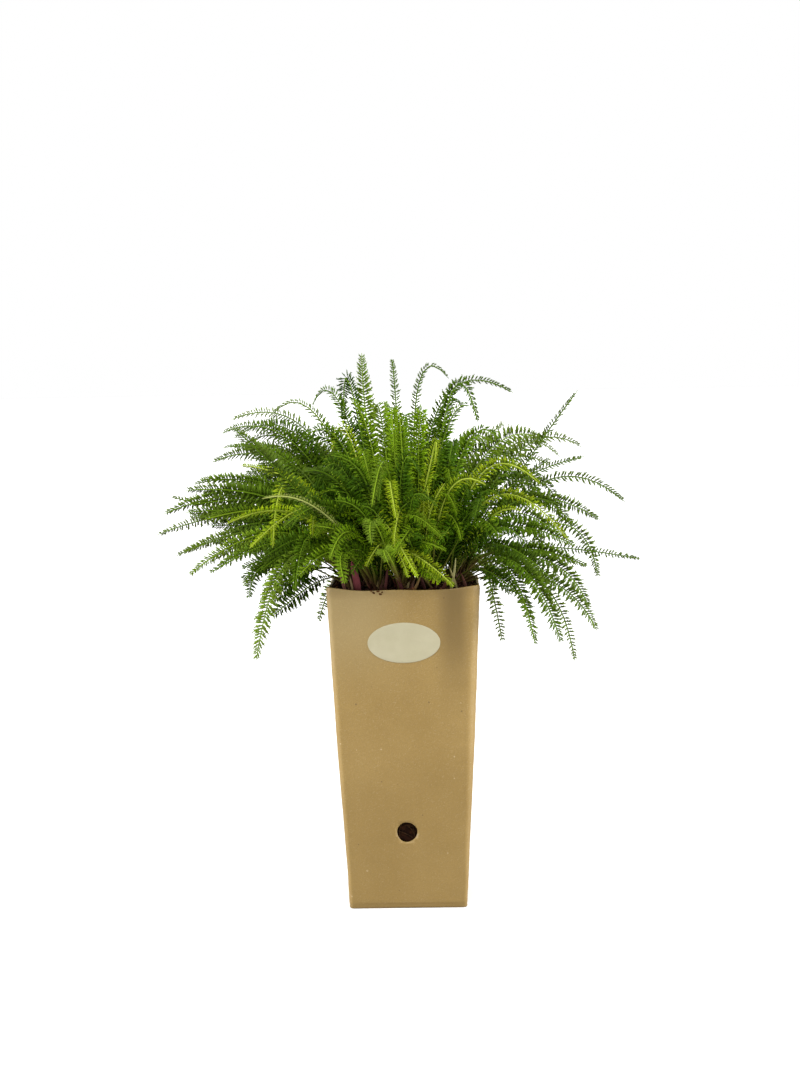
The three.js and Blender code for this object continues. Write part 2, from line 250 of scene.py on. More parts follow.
class MeshPad:
    """Collects vertices, triangles, colours and bake coordinates, and makes one mesh of them."""

    def __init__(self) -> None:
        """Starts empty."""
        self.batches: list[tuple[np.ndarray, ...]] = []
        self.count = 0

    def add(self, points: np.ndarray, faces: np.ndarray, tints: np.ndarray, spots: np.ndarray) -> None:
        """Adds one batch.

        Args:
            points: positions in millimetres, (n, 3).
            faces: triangles of indices into points, (m, 3).
            tints: linear colours, (n, 4).
            spots: places on the bake sheet from 0 to 1, (n, 2).
        """
        self.batches.append((points, faces + self.count, tints, spots))
        self.count += len(points)

    def slivers(
        self, form: Sliver, foot: np.ndarray, tip: np.ndarray, half: np.ndarray,
        tints: Sequence[np.ndarray], spots: Sequence[np.ndarray],
    ) -> None:
        """Adds closed slivers of one form.

        Args:
            form: their form.
            foot: where each starts, (n, 3), in millimetres.
            tip: where each ends, (n, 3).
            half: the vector from each one's middle to its edge, (n, 3).
            tints: the steps of the colour scale from foot to tip, each (n, 4).
            spots: the feet and the tips on the bake sheet, each (n, 2).
        """
        run = tip - foot
        aim = unit(run)
        half = half - aim * (half * aim).sum(-1, keepdims=True)
        rise = np.cross(aim, half) * form.flat
        ahead = spots[1] - spots[0]
        aside = np.stack([-ahead[:, 1], ahead[:, 0]], 1) * form.sheet + 2e-5
        corners = np.array(form.corners, float)
        along, wide, high, step, far, off = (corners[:, k, None] for k in range(6))
        points = foot[:, None] + run[:, None] * along + half[:, None] * wide + rise[:, None] * high
        places = spots[0][:, None] + ahead[:, None] * far + aside[:, None] * off
        shares = np.maximum(1.0 - np.abs(step - np.arange(len(tints))), 0.0)
        colours = np.einsum("ck,knf->ncf", shares, np.stack(tints))
        faces = np.arange(len(foot))[:, None, None] * len(corners) + np.array(form.faces)
        self.add(points.reshape(-1, 3), faces.reshape(-1, 3), colours.reshape(-1, 4), places.reshape(-1, 2))

    def tube(
        self, path: np.ndarray, across: np.ndarray, face: np.ndarray, half: np.ndarray,
        tints: np.ndarray, spots: np.ndarray, section: np.ndarray,
    ) -> None:
        """Adds a closed tube along a path.

        Args:
            path: its middle points, (n, 3).
            across: unit vectors to the section's left, (n, 3).
            face: unit vectors to the section's top, (n, 3).
            half: half widths, (n,).
            tints: colours along it, (n, 4).
            spots: places along it on the bake sheet, (n, 2), whose second axis lies across it.
            section: the section for a half width of 1, counter-clockwise seen from the end, (k, 2).
        """
        k = len(section)
        left, top = section[None, :, :1], section[None, :, 1:]
        wide = half[:, None, None]
        rings = path[:, None] + across[:, None] * (left * wide) + face[:, None] * (top * wide)
        fan = np.stack([np.zeros(k), np.linspace(-1.0, 1.0, k) * 0.0016], 1)
        self.add(
            np.concatenate([rings.reshape(-1, 3), path[:1], path[-1:]]),
            skin(len(path), k),
            np.concatenate([np.repeat(tints, k, 0), tints[:1], tints[-1:]]),
            np.concatenate([(spots[:, None] + fan).reshape(-1, 2), spots[:1] - 3e-4, spots[-1:] + 3e-4]),
        )

    def pipe(
        self, path: np.ndarray, beside: np.ndarray, half: np.ndarray,
        tints: np.ndarray, spots: np.ndarray, section: np.ndarray,
    ) -> None:
        """Adds a closed tube whose section is turned by one vector.

        Args:
            path: its middle points, (n, 3).
            beside: the vector that lies beside the path, (3,).
            half: half widths, (n,).
            tints: colours along it, (n, 4).
            spots: places along it on the bake sheet, (n, 2).
            section: the section for a half width of 1, (k, 2).
        """
        along = unit(np.gradient(path, axis=0))
        across = unit(np.cross(along, beside))
        self.tube(path, across, np.cross(along, across), half, tints, spots, section)

    def make(self, name: str, material: Material, is_smooth: bool = True) -> Piece:
        """Makes the object of all that was added.

        Args:
            name: the piece's name.
            material: its finish.
            is_smooth: whether its faces are shaded smooth.

        Returns:
            The new object, linked into the scene.
        """
        points, faces, tints, spots = (np.concatenate(column) for column in zip(*self.batches))
        corners = faces.astype(np.int32).ravel()
        mesh = bpy.data.meshes.new(name)
        mesh.vertices.add(len(points))
        mesh.vertices.foreach_set("co", (points * MM).astype(np.float32).ravel())
        mesh.loops.add(len(corners))
        mesh.loops.foreach_set("vertex_index", corners)
        mesh.polygons.add(len(faces))
        mesh.polygons.foreach_set("loop_start", np.arange(0, len(corners), 3, dtype=np.int32))
        mesh.polygons.foreach_set("use_smooth", np.full(len(faces), is_smooth))
        mesh.update(calc_edges=True)
        tint = mesh.color_attributes.new(TINT, "FLOAT_COLOR", "POINT")
        tint.data.foreach_set("color", tints.astype(np.float32).ravel())
        sheet = mesh.uv_layers.new(name=BAKE_MAP)
        sheet.data.foreach_set("uv", np.clip(spots, 0.0, 1.0)[corners].astype(np.float32).ravel())
        mesh.materials.append(material)
        return show(name, mesh)


# ---------------------------------------------------------------- finishes


class Wiring:
    """A short way to add and join shader nodes in one tree."""

    def __init__(self, tree: bpy.types.NodeTree) -> None:
        """Takes the tree and empties it."""
        self.tree = tree
        tree.nodes.clear()

    def feed(self, socket: Socket, value: object) -> None:
        """Joins another socket to an input, or gives the input a plain value.

        Args:
            socket: the input.
            value: the other socket or the value.
        """
        if isinstance(value, Socket):
            self.tree.links.new(value, socket)
        else:
            socket.default_value = value

    def add(self, kind: str, *feeds: object, **values: object) -> Node:
        """Adds a shader node.

        Args:
            kind: the name of its type, after ShaderNode.
            *feeds: values or sockets for its first inputs, in their order.
            **values: its properties, in lower case, and its inputs by name, with _ for a space.

        Returns:
            The new node.
        """
        node = self.tree.nodes.new("ShaderNode" + kind)
        for key, value in values.items():
            if key.islower():
                setattr(node, key, value)
        for socket, value in zip(node.inputs, feeds):
            self.feed(socket, value)
        for key, value in values.items():
            if not key.islower():
                self.feed(node.inputs[key.replace("_", " ")], value)
        return node

    def blend(self, factor: object, first: object, second: object) -> Socket:
        """Mixes two colours, each a value or a socket.

        Args:
            factor: how much of the second shows.
            first: the first colour.
            second: the second colour.

        Returns:
            The mixed colour's socket.
        """
        node = self.add("Mix", data_type="RGBA")
        for index, value in zip((0, 6, 7), (factor, first, second)):
            self.feed(node.inputs[index], value)
        return node.outputs[2]

    def math(self, operation: str, *values: object) -> Socket:
        """Does one sum with numbers or sockets, and returns the result's socket."""
        return self.add("Math", *values, operation=operation).outputs[0]

    def times(self, first: object, second: object) -> Socket:
        """Multiplies numbers or sockets, and returns the result's socket."""
        return self.math("MULTIPLY", first, second)

    def span(
        self, value: Socket, low: float = 0.0, high: float = 1.0, to_low: float = 0.0, to_high: float = 1.0
    ) -> Socket:
        """Maps a range smoothly onto another.

        Args:
            value: the socket to map.
            low: the start of its range.
            high: the end of its range.
            to_low: what the start becomes.
            to_high: what the end becomes.

        Returns:
            The mapped value's socket.
        """
        sizes = {"From_Min": low, "From_Max": high, "To_Min": to_low, "To_Max": to_high}
        return self.add("MapRange", interpolation_type="SMOOTHSTEP", Value=value, **sizes).outputs[0]

    def grow(self, value: Socket, places: Sequence[float], most: float = 1.0) -> Socket:
        """Grows smoothly between two places, upwards or downwards.

        Args:
            value: the socket of the place.
            places: where it starts and where it is full.
            most: how much it is there.

        Returns:
            The strength's socket.
        """
        start, full = places
        ends = (start, full, 0.0, most) if start < full else (full, start, most, 0.0)
        return self.span(value, *ends)

    def band(self, value: Socket, places: Sequence[float], most: float = 1.0) -> Socket:
        """A band with two soft sides at four places, as strong as most between them."""
        return self.times(self.grow(value, places[:2], most), self.grow(value, places[:1:-1]))

    def by_ray(self, end: str, unseen: Node, seen: Node) -> None:
        """Ends the tree with one shader for the camera's own rays and another for all the others.

        Args:
            end: the output node's type name.
            unseen: the shader for the other rays.
            seen: the shader for the camera's rays.
        """
        rays = self.add("LightPath").outputs["Is Camera Ray"]
        choose = self.add("MixShader", rays, unseen.outputs[0], seen.outputs[0])
        self.add(end, choose.outputs[0])


class Effects:
    """The surface effects that several finishes share, each a node group that is built once."""

    def __init__(self) -> None:
        """Builds the groups."""
        self.grain = self._grain()
        self.fibres = self._fibres()

    @staticmethod
    def _shell(name: str, inputs: dict[str, float], outputs: Sequence[str]) -> tuple[Wiring, dict, dict]:
        """Starts a group with a vector input, number inputs and number outputs.

        Args:
            name: the group's name.
            inputs: names and defaults of its number inputs.
            outputs: names of its outputs.

        Returns:
            The wiring, the group's input sockets and its output sockets, by name.
        """
        tree = bpy.data.node_groups.new(name, "ShaderNodeTree")
        kind = "NodeSocketFloat"
        tree.interface.new_socket("Place", in_out="INPUT", socket_type="NodeSocketVector")
        for label, value in inputs.items():
            tree.interface.new_socket(label, in_out="INPUT", socket_type=kind).default_value = value
        for label in outputs:
            tree.interface.new_socket(label, in_out="OUTPUT", socket_type=kind)
        wiring = Wiring(tree)
        start, end = (tree.nodes.new("NodeGroup" + side) for side in ("Input", "Output"))
        return wiring, {s.name: s for s in start.outputs}, {s.name: s for s in end.inputs}

    def _grain(self) -> bpy.types.NodeTree:
        """Cloudy and fine grain.

        Returns:
            The group, whose Cloud and Grain run from about 0 to 1.
        """
        w, i, o = self._shell("grain", {"Cloud Scale": 20.0, "Grain Scale": 900.0}, ("Cloud", "Grain"))
        for label, detail, roughness in (("Cloud", 3.0, 0.5), ("Grain", 4.0, 0.65)):
            noise = w.add(
                "TexNoise", Vector=i["Place"], Scale=i[label + " Scale"], Detail=detail, Roughness=roughness
            )
            w.feed(o[label], w.span(noise.outputs["Fac"], 0.3, 0.7))
        return w.tree

    def _fibres(self) -> bpy.types.NodeTree:
        """Short pressed fibres that lie several ways, and scattered flecks.

        Returns:
            The group, whose outputs are masks from 0 to 1.
        """
        w, i, o = self._shell(
            "fibres", {"Length Scale": 260.0, "Fineness": 9.0, "Fleck Scale": 150.0},
            ("Pale", "Dark", "Pale Fleck", "Dark Fleck"),
        )
        layers = []
        for turn, shift in ((0.25, 3.1), (1.15, 7.7), (2.2, 1.9), (2.75, 5.3)):
            lay = w.add("Mapping", Vector=i["Place"], Location=[shift] * 3, Rotation=(0.0, turn, turn * 0.7))
            size = w.add("CombineXYZ", X=1.0, Y=1.0, Z=i["Fineness"])
            stretch = w.add("VectorMath", lay.outputs[0], size.outputs[0], operation="MULTIPLY")
            noise = w.add("TexNoise", Vector=stretch.outputs[0], Scale=i["Length Scale"], Detail=1.0)
            layers.append(noise.outputs["Fac"])
        for label, pair, low, seed in (("Pale", layers[:2], 0.62, 0.0), ("Dark", layers[2:], 0.64, 41.3)):
            w.feed(o[label], w.span(w.math("MAXIMUM", *pair), low, low + 0.14))
            lay = w.add("Mapping", Vector=i["Place"], Location=[seed] * 3)
            cells = w.add("TexVoronoi", Vector=lay.outputs[0], Scale=i["Fleck Scale"])
            chance = w.add("SeparateColor", cells.outputs["Color"]).outputs[0]
            size = w.span(chance, 0.78, 1.0, 0.0, 0.14)
            w.feed(o[label + " Fleck"], w.math("LESS_THAN", cells.outputs["Distance"], size))
        return w.tree


@dataclass(frozen=True)
class Canvas:
    """What a finish is laid out with.

    w is the material's wiring, effects are the shared effects, and place, cloud and fine the sockets of
    the object's own coordinates, of the cloudy grain and of the fine grain.
    """

    w: Wiring
    effects: Effects
    place: Socket
    cloud: Socket
    fine: Socket


@dataclass(frozen=True)
class Finish:
    """What every finish has: how rough, glossy and grainy it is, with its relief's depth in metres."""

    name: str
    roughness: tuple[float, float]
    relief: float
    relief_depth: float
    cloud_scale: float
    grain_scale: float = 1800.0
    gloss: float = 0.5
    coat: float = 0.0

    def paint(self, on: Canvas) -> tuple[Socket, Socket]:
        """Lays out the colour and the relief.

        Args:
            on: what it is laid out with.

        Returns:
            The sockets of the colour and of the relief's height.
        """
        raise NotImplementedError

    def make(self, effects: Effects) -> Material:
        """Makes the material.

        Args:
            effects: the shared effects.

        Returns:
            The new material.
        """
        material = bpy.data.materials.new(self.name)
        material.use_nodes = True
        w = Wiring(material.node_tree)
        place = w.add("TexCoord").outputs["Object"]
        scales = {"Cloud_Scale": self.cloud_scale, "Grain_Scale": self.grain_scale}
        cloud, fine = w.add("Group", node_tree=effects.grain, Place=place, **scales).outputs
        colour, height = self.paint(Canvas(w, effects, place, cloud, fine))
        bump = w.add("Bump", Strength=self.relief, Distance=self.relief_depth, Height=height)
        shader = w.add(
            "BsdfPrincipled", Base_Color=colour, Roughness=w.span(fine, 0.0, 1.0, *self.roughness),
            Specular_IOR_Level=self.gloss, Coat_Weight=self.coat, Normal=bump.outputs[0],
        )
        w.add("OutputMaterial", shader.outputs[0])
        return material


@dataclass(frozen=True)
class FibreCard(Finish):
    """Moulded kraft card: warm buff, with pressed fibres, flecks and a damp rim, darker towards the bottom,
    with painted shade in a band on the front's right and along the foot, and painted light on the upper left.

    marks holds how strong each mask is. A pair of places, in metres, is where an effect starts and where
    it is full, and four places are those of a band with two soft sides.
    """

    pale: Colour = (176, 144, 78)
    deep: Colour = (166, 134, 67)
    # The colour of the damp rim, also used for painted shade and for darkening.
    damp_and_shade: Colour = (124, 98, 42)
    # The colour of the painted light that makes the upper left paler.
    painted_light_tint: Colour = (188, 167, 118)
    pale_mark: Colour = (214, 192, 148)
    dark_mark: Colour = (96, 72, 40)
    length_scale: float = 560.0
    fineness: float = 7.0
    fleck_scale: float = 210.0
    marks: tuple[tuple[str, float], ...] = (
        ("Pale", 0.3), ("Dark", 0.22), ("Pale Fleck", 0.6), ("Dark Fleck", 0.55)
    )
    # Painted shade: a soft dark band on the right of the front face, where the wall curves in.
    painted_shade: float = 0.86
    painted_shade_across: tuple[float, ...] = (0.015, 0.028, 0.032, 0.041)
    painted_shade_depth: tuple[float, float] = (-0.030, -0.036)
    painted_shade_height: tuple[float, float] = (0.105, 0.182)
    # Painted light: the upper left of the wall is made paler.
    painted_light: float = 0.42
    painted_light_across: tuple[float, float] = (0.008, -0.026)
    painted_light_height: tuple[float, float] = (0.12, 0.175)
    # The wall grows darker towards the bottom.
    low_darkening: float = 0.3
    low_darkening_height: tuple[float, float] = (0.15, 0.0)
    rim_damp: float = 0.5
    rim_height: tuple[float, float] = (0.1835, 0.1895)
    # Painted shade: a dark band along the foot's fold.
    painted_foot_shade: float = 0.4
    foot_height: tuple[float, ...] = (0.0004, 0.0014, 0.0026, 0.0044)

    def paint(self, on: Canvas) -> tuple[Socket, Socket]:
        """Lays out the fibres and flecks, then the painted shade on the front's right, the painted light on
        the upper left, the darkening towards the bottom, the damp rim and the painted shade along the foot.

        Args:
            on: what it is laid out with.

        Returns:
            The sockets of the colour and of the relief's height.
        """
        w, cloud, fine = on.w, on.cloud, on.fine
        fibres = w.add(
            "Group", node_tree=on.effects.fibres, Place=on.place, Length_Scale=self.length_scale,
            Fineness=self.fineness, Fleck_Scale=self.fleck_scale,
        ).outputs
        damp_and_shade = linear(*self.damp_and_shade)
        colour = w.blend(cloud, linear(*self.deep), linear(*self.pale))
        colour = w.blend(w.span(fine, 0.0, 1.0, 0.24, 0.0), colour, damp_and_shade)
        for label, share in self.marks:
            tint = self.pale_mark if label.startswith("Pale") else self.dark_mark
            colour = w.blend(w.times(fibres[label], share), colour, linear(*tint))
        x, y, z = w.add("SeparateXYZ", on.place).outputs
        # Painted shade: a soft dark band on the front's right, drawn in the damp colour.
        side = w.band(x, self.painted_shade_across)
        front = w.grow(y, self.painted_shade_depth)
        painted_shade = w.times(w.times(side, front), w.grow(z, self.painted_shade_height, self.painted_shade))
        colour = w.blend(painted_shade, colour, damp_and_shade)
        # Painted light: a paler upper left.
        painted_light = w.times(w.grow(z, self.painted_light_height, self.painted_light), w.grow(x, self.painted_light_across))
        colour = w.blend(painted_light, colour, linear(*self.painted_light_tint))
        # Darker towards the bottom.
        colour = w.blend(w.grow(z, self.low_darkening_height, self.low_darkening), colour, damp_and_shade)
        rim = w.times(w.grow(z, self.rim_height, self.rim_damp), cloud)
        # Painted shade: a dark band along the foot, mixed in with the damp rim.
        foot = w.band(z, self.foot_height, self.painted_foot_shade)
        colour = w.blend(w.math("MAXIMUM", rim, foot), colour, damp_and_shade)
        height = w.math("ADD", w.times(fine, 0.5), w.times(fibres["Pale"], 0.5))
        return colour, w.math("ADD", height, w.times(cloud, 0.8))


@dataclass(frozen=True)
class TintedFinish(Finish):
    """A finish whose colour is painted on the mesh, and darkened in places by cloud and grain."""

    darkening: float = 0.3
    shade: Colour = (20, 40, 5)

    def paint(self, on: Canvas) -> tuple[Socket, Socket]:
        """Lays the shade over the mesh's own colours.

        Args:
            on: what it is laid out with.

        Returns:
            The sockets of the colour and of the relief's height.
        """
        w = on.w
        own = w.add("Attribute", attribute_name=TINT).outputs["Color"]
        dim = w.math("ADD", w.times(on.cloud, 0.6), w.times(on.fine, 0.4))
        return w.blend(w.times(dim, self.darkening), own, linear(*self.shade)), on.fine


@dataclass(frozen=True)
class PaperFinish(Finish):
    """Cream label paper with a soft mottle, left blank."""

    paper: Colour = (205, 197, 165)
    mottle: Colour = (196, 188, 153)

    def paint(self, on: Canvas) -> tuple[Socket, Socket]:
        """Lays the mottle over the paper."""
        spread = on.w.math("ADD", on.w.times(on.cloud, 0.6), on.w.times(on.fine, 0.3))
        return on.w.blend(spread, linear(*self.paper), linear(*self.mottle)), on.fine


# ---------------------------------------------------------------- pot, root ball and label


@dataclass
class SquarePot:
    """The tapered pot, in millimetres: a thin card wall with rounded corners and a drain hole.

    corners holds each corner's radius at the foot and at the rim, from the front right one on, and
    corner_lift how far the rim rises there. Pairs named for a place are its middle and its spread;
    bulge and pinch hold the side walls' depth first, then the front's and back's. A dent has its depth,
    its place to the right and its spread, and the heights between which it grows. crease holds its depth,
    its height, its slope, its spread, and the places between which it grows. waves hold each seed, length
    and depth.
    """

    height: float = 190.0
    rim_width: float = 90.0
    base_width: float = 70.0
    wall: float = 1.6
    floor: float = 2.4
    foot_round: float = 1.3
    lip_round: float = 0.7
    corners: tuple[tuple[float, float], ...] = ((2.5, 7.5), (3.0, 6.0), (3.0, 6.0), (3.0, 4.0))
    corner_lift: tuple[float, ...] = (2.3, 0.9, 1.2, 2.5)
    signs: tuple[tuple[int, int], ...] = ((1, -1), (1, 1), (-1, 1), (-1, -1))
    drain_diameter: float = 12.0
    drain_height: float = 46.0
    straight_steps: int = 26
    corner_steps: int = 12
    levels: int = 74
    bulge: tuple[float, float] = (0.6, 0.35)
    bulge_place: tuple[float, float] = (115.0, 48.0)
    pinch: tuple[float, float] = (0.65, 0.3)
    pinch_place: tuple[float, float] = (18.0, 24.0)
    fold: float = 0.24
    fold_place: tuple[float, float] = (2.3, 0.6)
    dents: tuple[tuple[float, ...], ...] = ((0.5, 20.0, 7.0, 120.0, 175.0), (-1.0, 31.0, 6.5, 112.0, 172.0))
    crease: tuple[float, ...] = (0.28, 128.0, 0.12, 2.2, 12.0, 30.0)
    waves: tuple[tuple[int, float, float], ...] = ((3, 46.0, 0.13), (4, 9.0, 0.045))

    def width(self, z: np.ndarray | float) -> np.ndarray | float:
        """The pot's straight width at height z."""
        return self.base_width + (self.rim_width - self.base_width) * z / self.height

    def outline(self, z: float, inset: float) -> np.ndarray:
        """The rounded square outline at one height.

        Args:
            z: the height.
            inset: how far inside the pot's outer face it lies.

        Returns:
            The points (k, 3), counter-clockwise seen from above, from the front right corner.
        """
        half = self.width(z) / 2 - inset
        arcs = []
        for index, (sign, (low, high)) in enumerate(zip(self.signs, self.corners)):
            radius = max(low + (high - low) * z / self.height - inset, 0.8)
            steps = np.arange(self.corner_steps + 1) / self.corner_steps
            angle = np.radians(90.0 * (index - 1 + steps))
            arc = radius * np.stack([np.cos(angle), np.sin(angle)], 1)
            arcs.append(np.array(sign) * (half - radius) + arc)
        share = np.arange(1, self.straight_steps)[:, None] / self.straight_steps
        ring = []
        for arc, after in zip(arcs, arcs[1:] + arcs[:1]):
            ring += [arc, mix(arc[-1], after[0], share)]
        flat = np.concatenate(ring)
        return np.column_stack([flat, np.full(len(flat), z)])

    def swell(self, points: np.ndarray) -> np.ndarray:
        """How far the real wall stands out from the plain taper: bulges, a dent and a crease on the
        front's right, the fold over the foot, and small waves.

        Args:
            points: places on the wall, (..., 3).

        Returns:
            The distance outwards at each place, in millimetres.
        """
        x, y, z = np.moveaxis(points, -1, 0)
        sides = np.abs(x) > np.abs(y)
        across = np.minimum(np.abs(x), np.abs(y)) / (self.width(z) / 2)
        out = np.where(sides, *self.bulge) * hump(z, *self.bulge_place)
        out = out - np.where(sides, *self.pinch) * hump(z, *self.pinch_place)
        dent = sum(
            depth * hump(x, place, spread) * smooth(low, high, z)
            for depth, place, spread, low, high in self.dents
        )
        depth, height, slope, spread, start, full = self.crease
        crease = depth * hump(z, height + slope * x, spread) * smooth(start, full, x)
        out = out + np.where((y < 0) & ~sides, dent - crease, 0.0)
        out = out * (1.0 - 0.65 * smooth(0.55, 1.0, across)) - self.fold * hump(z, *self.fold_place)
        waves = sum(depth * Ripple(seed, length).at(points) for seed, length, depth in self.waves)
        return out + waves * smooth(0.0, 12.0, z)

    def outward(self, points: np.ndarray) -> np.ndarray:
        """Level unit vectors out of the wall, turned smoothly round the corners."""
        steep = (points[..., :2] / (self.width(points[..., 2:]) / 2)) ** 7
        return unit(np.concatenate([steep, np.zeros_like(steep[..., :1])], -1))

    def lift(self, points: np.ndarray) -> np.ndarray:
        """How far the rim rises at the corners and wavers between them.

        Args:
            points: places on the wall, (..., 3).

        Returns:
            The rise at each place, in millimetres.
        """
        x, y, z = np.moveaxis(points, -1, 0)
        half = self.width(z) / 2
        rise = 0.22 * Ripple(6, 30.0).at(points)
        for (sx, sy), top in zip(self.signs, self.corner_lift):
            rise = rise + top * hump(np.hypot(x - sx * half, y - sy * half), 0.0, 12.0)
        return rise * smooth(158.0, self.height, z)

    def wall_rings(self) -> list[np.ndarray]:
        """Lays the wall's rings.

        Returns:
            The rings of the outer face, lowest first, then of the rounded lip, then of the inner face.
        """
        turn = np.linspace(0.0, math.pi / 2, 4)
        foot, lip, half = self.foot_round, self.lip_round, self.wall / 2
        top = self.height - lip
        climb = np.concatenate([np.linspace(foot, 12.0, 14)[1:], np.linspace(12.0, top, self.levels)[1:]])
        sink = np.concatenate([np.linspace(top, 176.0, 8)[1:], np.linspace(176.0, self.floor, 26)[1:]])
        outer = [(foot * (1 - math.cos(t)), foot * (1 - math.sin(t))) for t in turn]
        outer += [(z, 0.0) for z in climb]
        outer += [(top + lip * math.sin(t), half * (1 - math.cos(t))) for t in turn[1:]]
        outer += [(self.height - lip * (1 - math.cos(t)), half * (1 + math.sin(t))) for t in turn[1:]]
        rings = []
        for index, (z, inset) in enumerate(outer + [(z, self.wall) for z in sink]):
            ring = self.outline(z, inset)
            fade = 1.0 if index < len(outer) else smooth(120.0, 185.0, z)
            shaped = ring + self.outward(ring) * (self.swell(ring) * fade)[:, None]
            shaped[:, 2] += self.lift(ring)
            rings.append(shaped)
        return rings

    def build(self, effects: Effects) -> Piece:
        """Builds the wall as one closed mesh, cuts the drain hole and gives it its card finish.

        Args:
            effects: the shared effects.

        Returns:
            The piece.
        """
        piece = ring_body("pot_wall", self.wall_rings())
        self.cut_drain(piece)
        for face in piece.data.polygons:
            face.use_smooth = len(face.vertices) < 10 or face.area < 1e-4
        card = FibreCard("fibre_card", (0.44, 0.56), 0.35, 0.12 * MM, 22.0, 1500.0, gloss=0.75)
        piece.data.materials.append(card.make(effects))
        return piece

    def cut_drain(self, piece: Piece) -> None:
        """Cuts the drain hole with a slightly ragged punch and leaves its edge a little torn.

        Args:
            piece: the wall.
        """
        rng = np.random.default_rng(12)
        sides = 56
        angle = np.linspace(0.0, TURN, sides, endpoint=False)
        front = -self.width(self.drain_height) / 2
        rings = []
        for y, grow in ((front - 4.0, 0.12), (front - 0.2, 0.0), (front + 5.0, -0.15)):
            ragged = self.drain_diameter / 2 + grow + 0.05 * rng.normal(size=sides)
            ragged += 0.09 * np.sin(3 * angle + 1.0)
            rings.append(np.column_stack([
                ragged * np.cos(angle), np.full(sides, y), self.drain_height + ragged * np.sin(angle)
            ]))
        punch = ring_body("punch", rings)
        cut = piece.modifiers.new("drain", "BOOLEAN")
        cut.object = punch
        cut.operation = "DIFFERENCE"
        cut.solver = "EXACT"
        whole = bpy.data.meshes.new_from_object(piece.evaluated_get(bpy.context.evaluated_depsgraph_get()))
        piece.modifiers.clear()
        spent = (piece.data, punch.data)
        piece.data = whole
        bpy.data.objects.remove(punch)
        for mesh in spent:
            bpy.data.meshes.remove(mesh)
        whole.name = piece.name


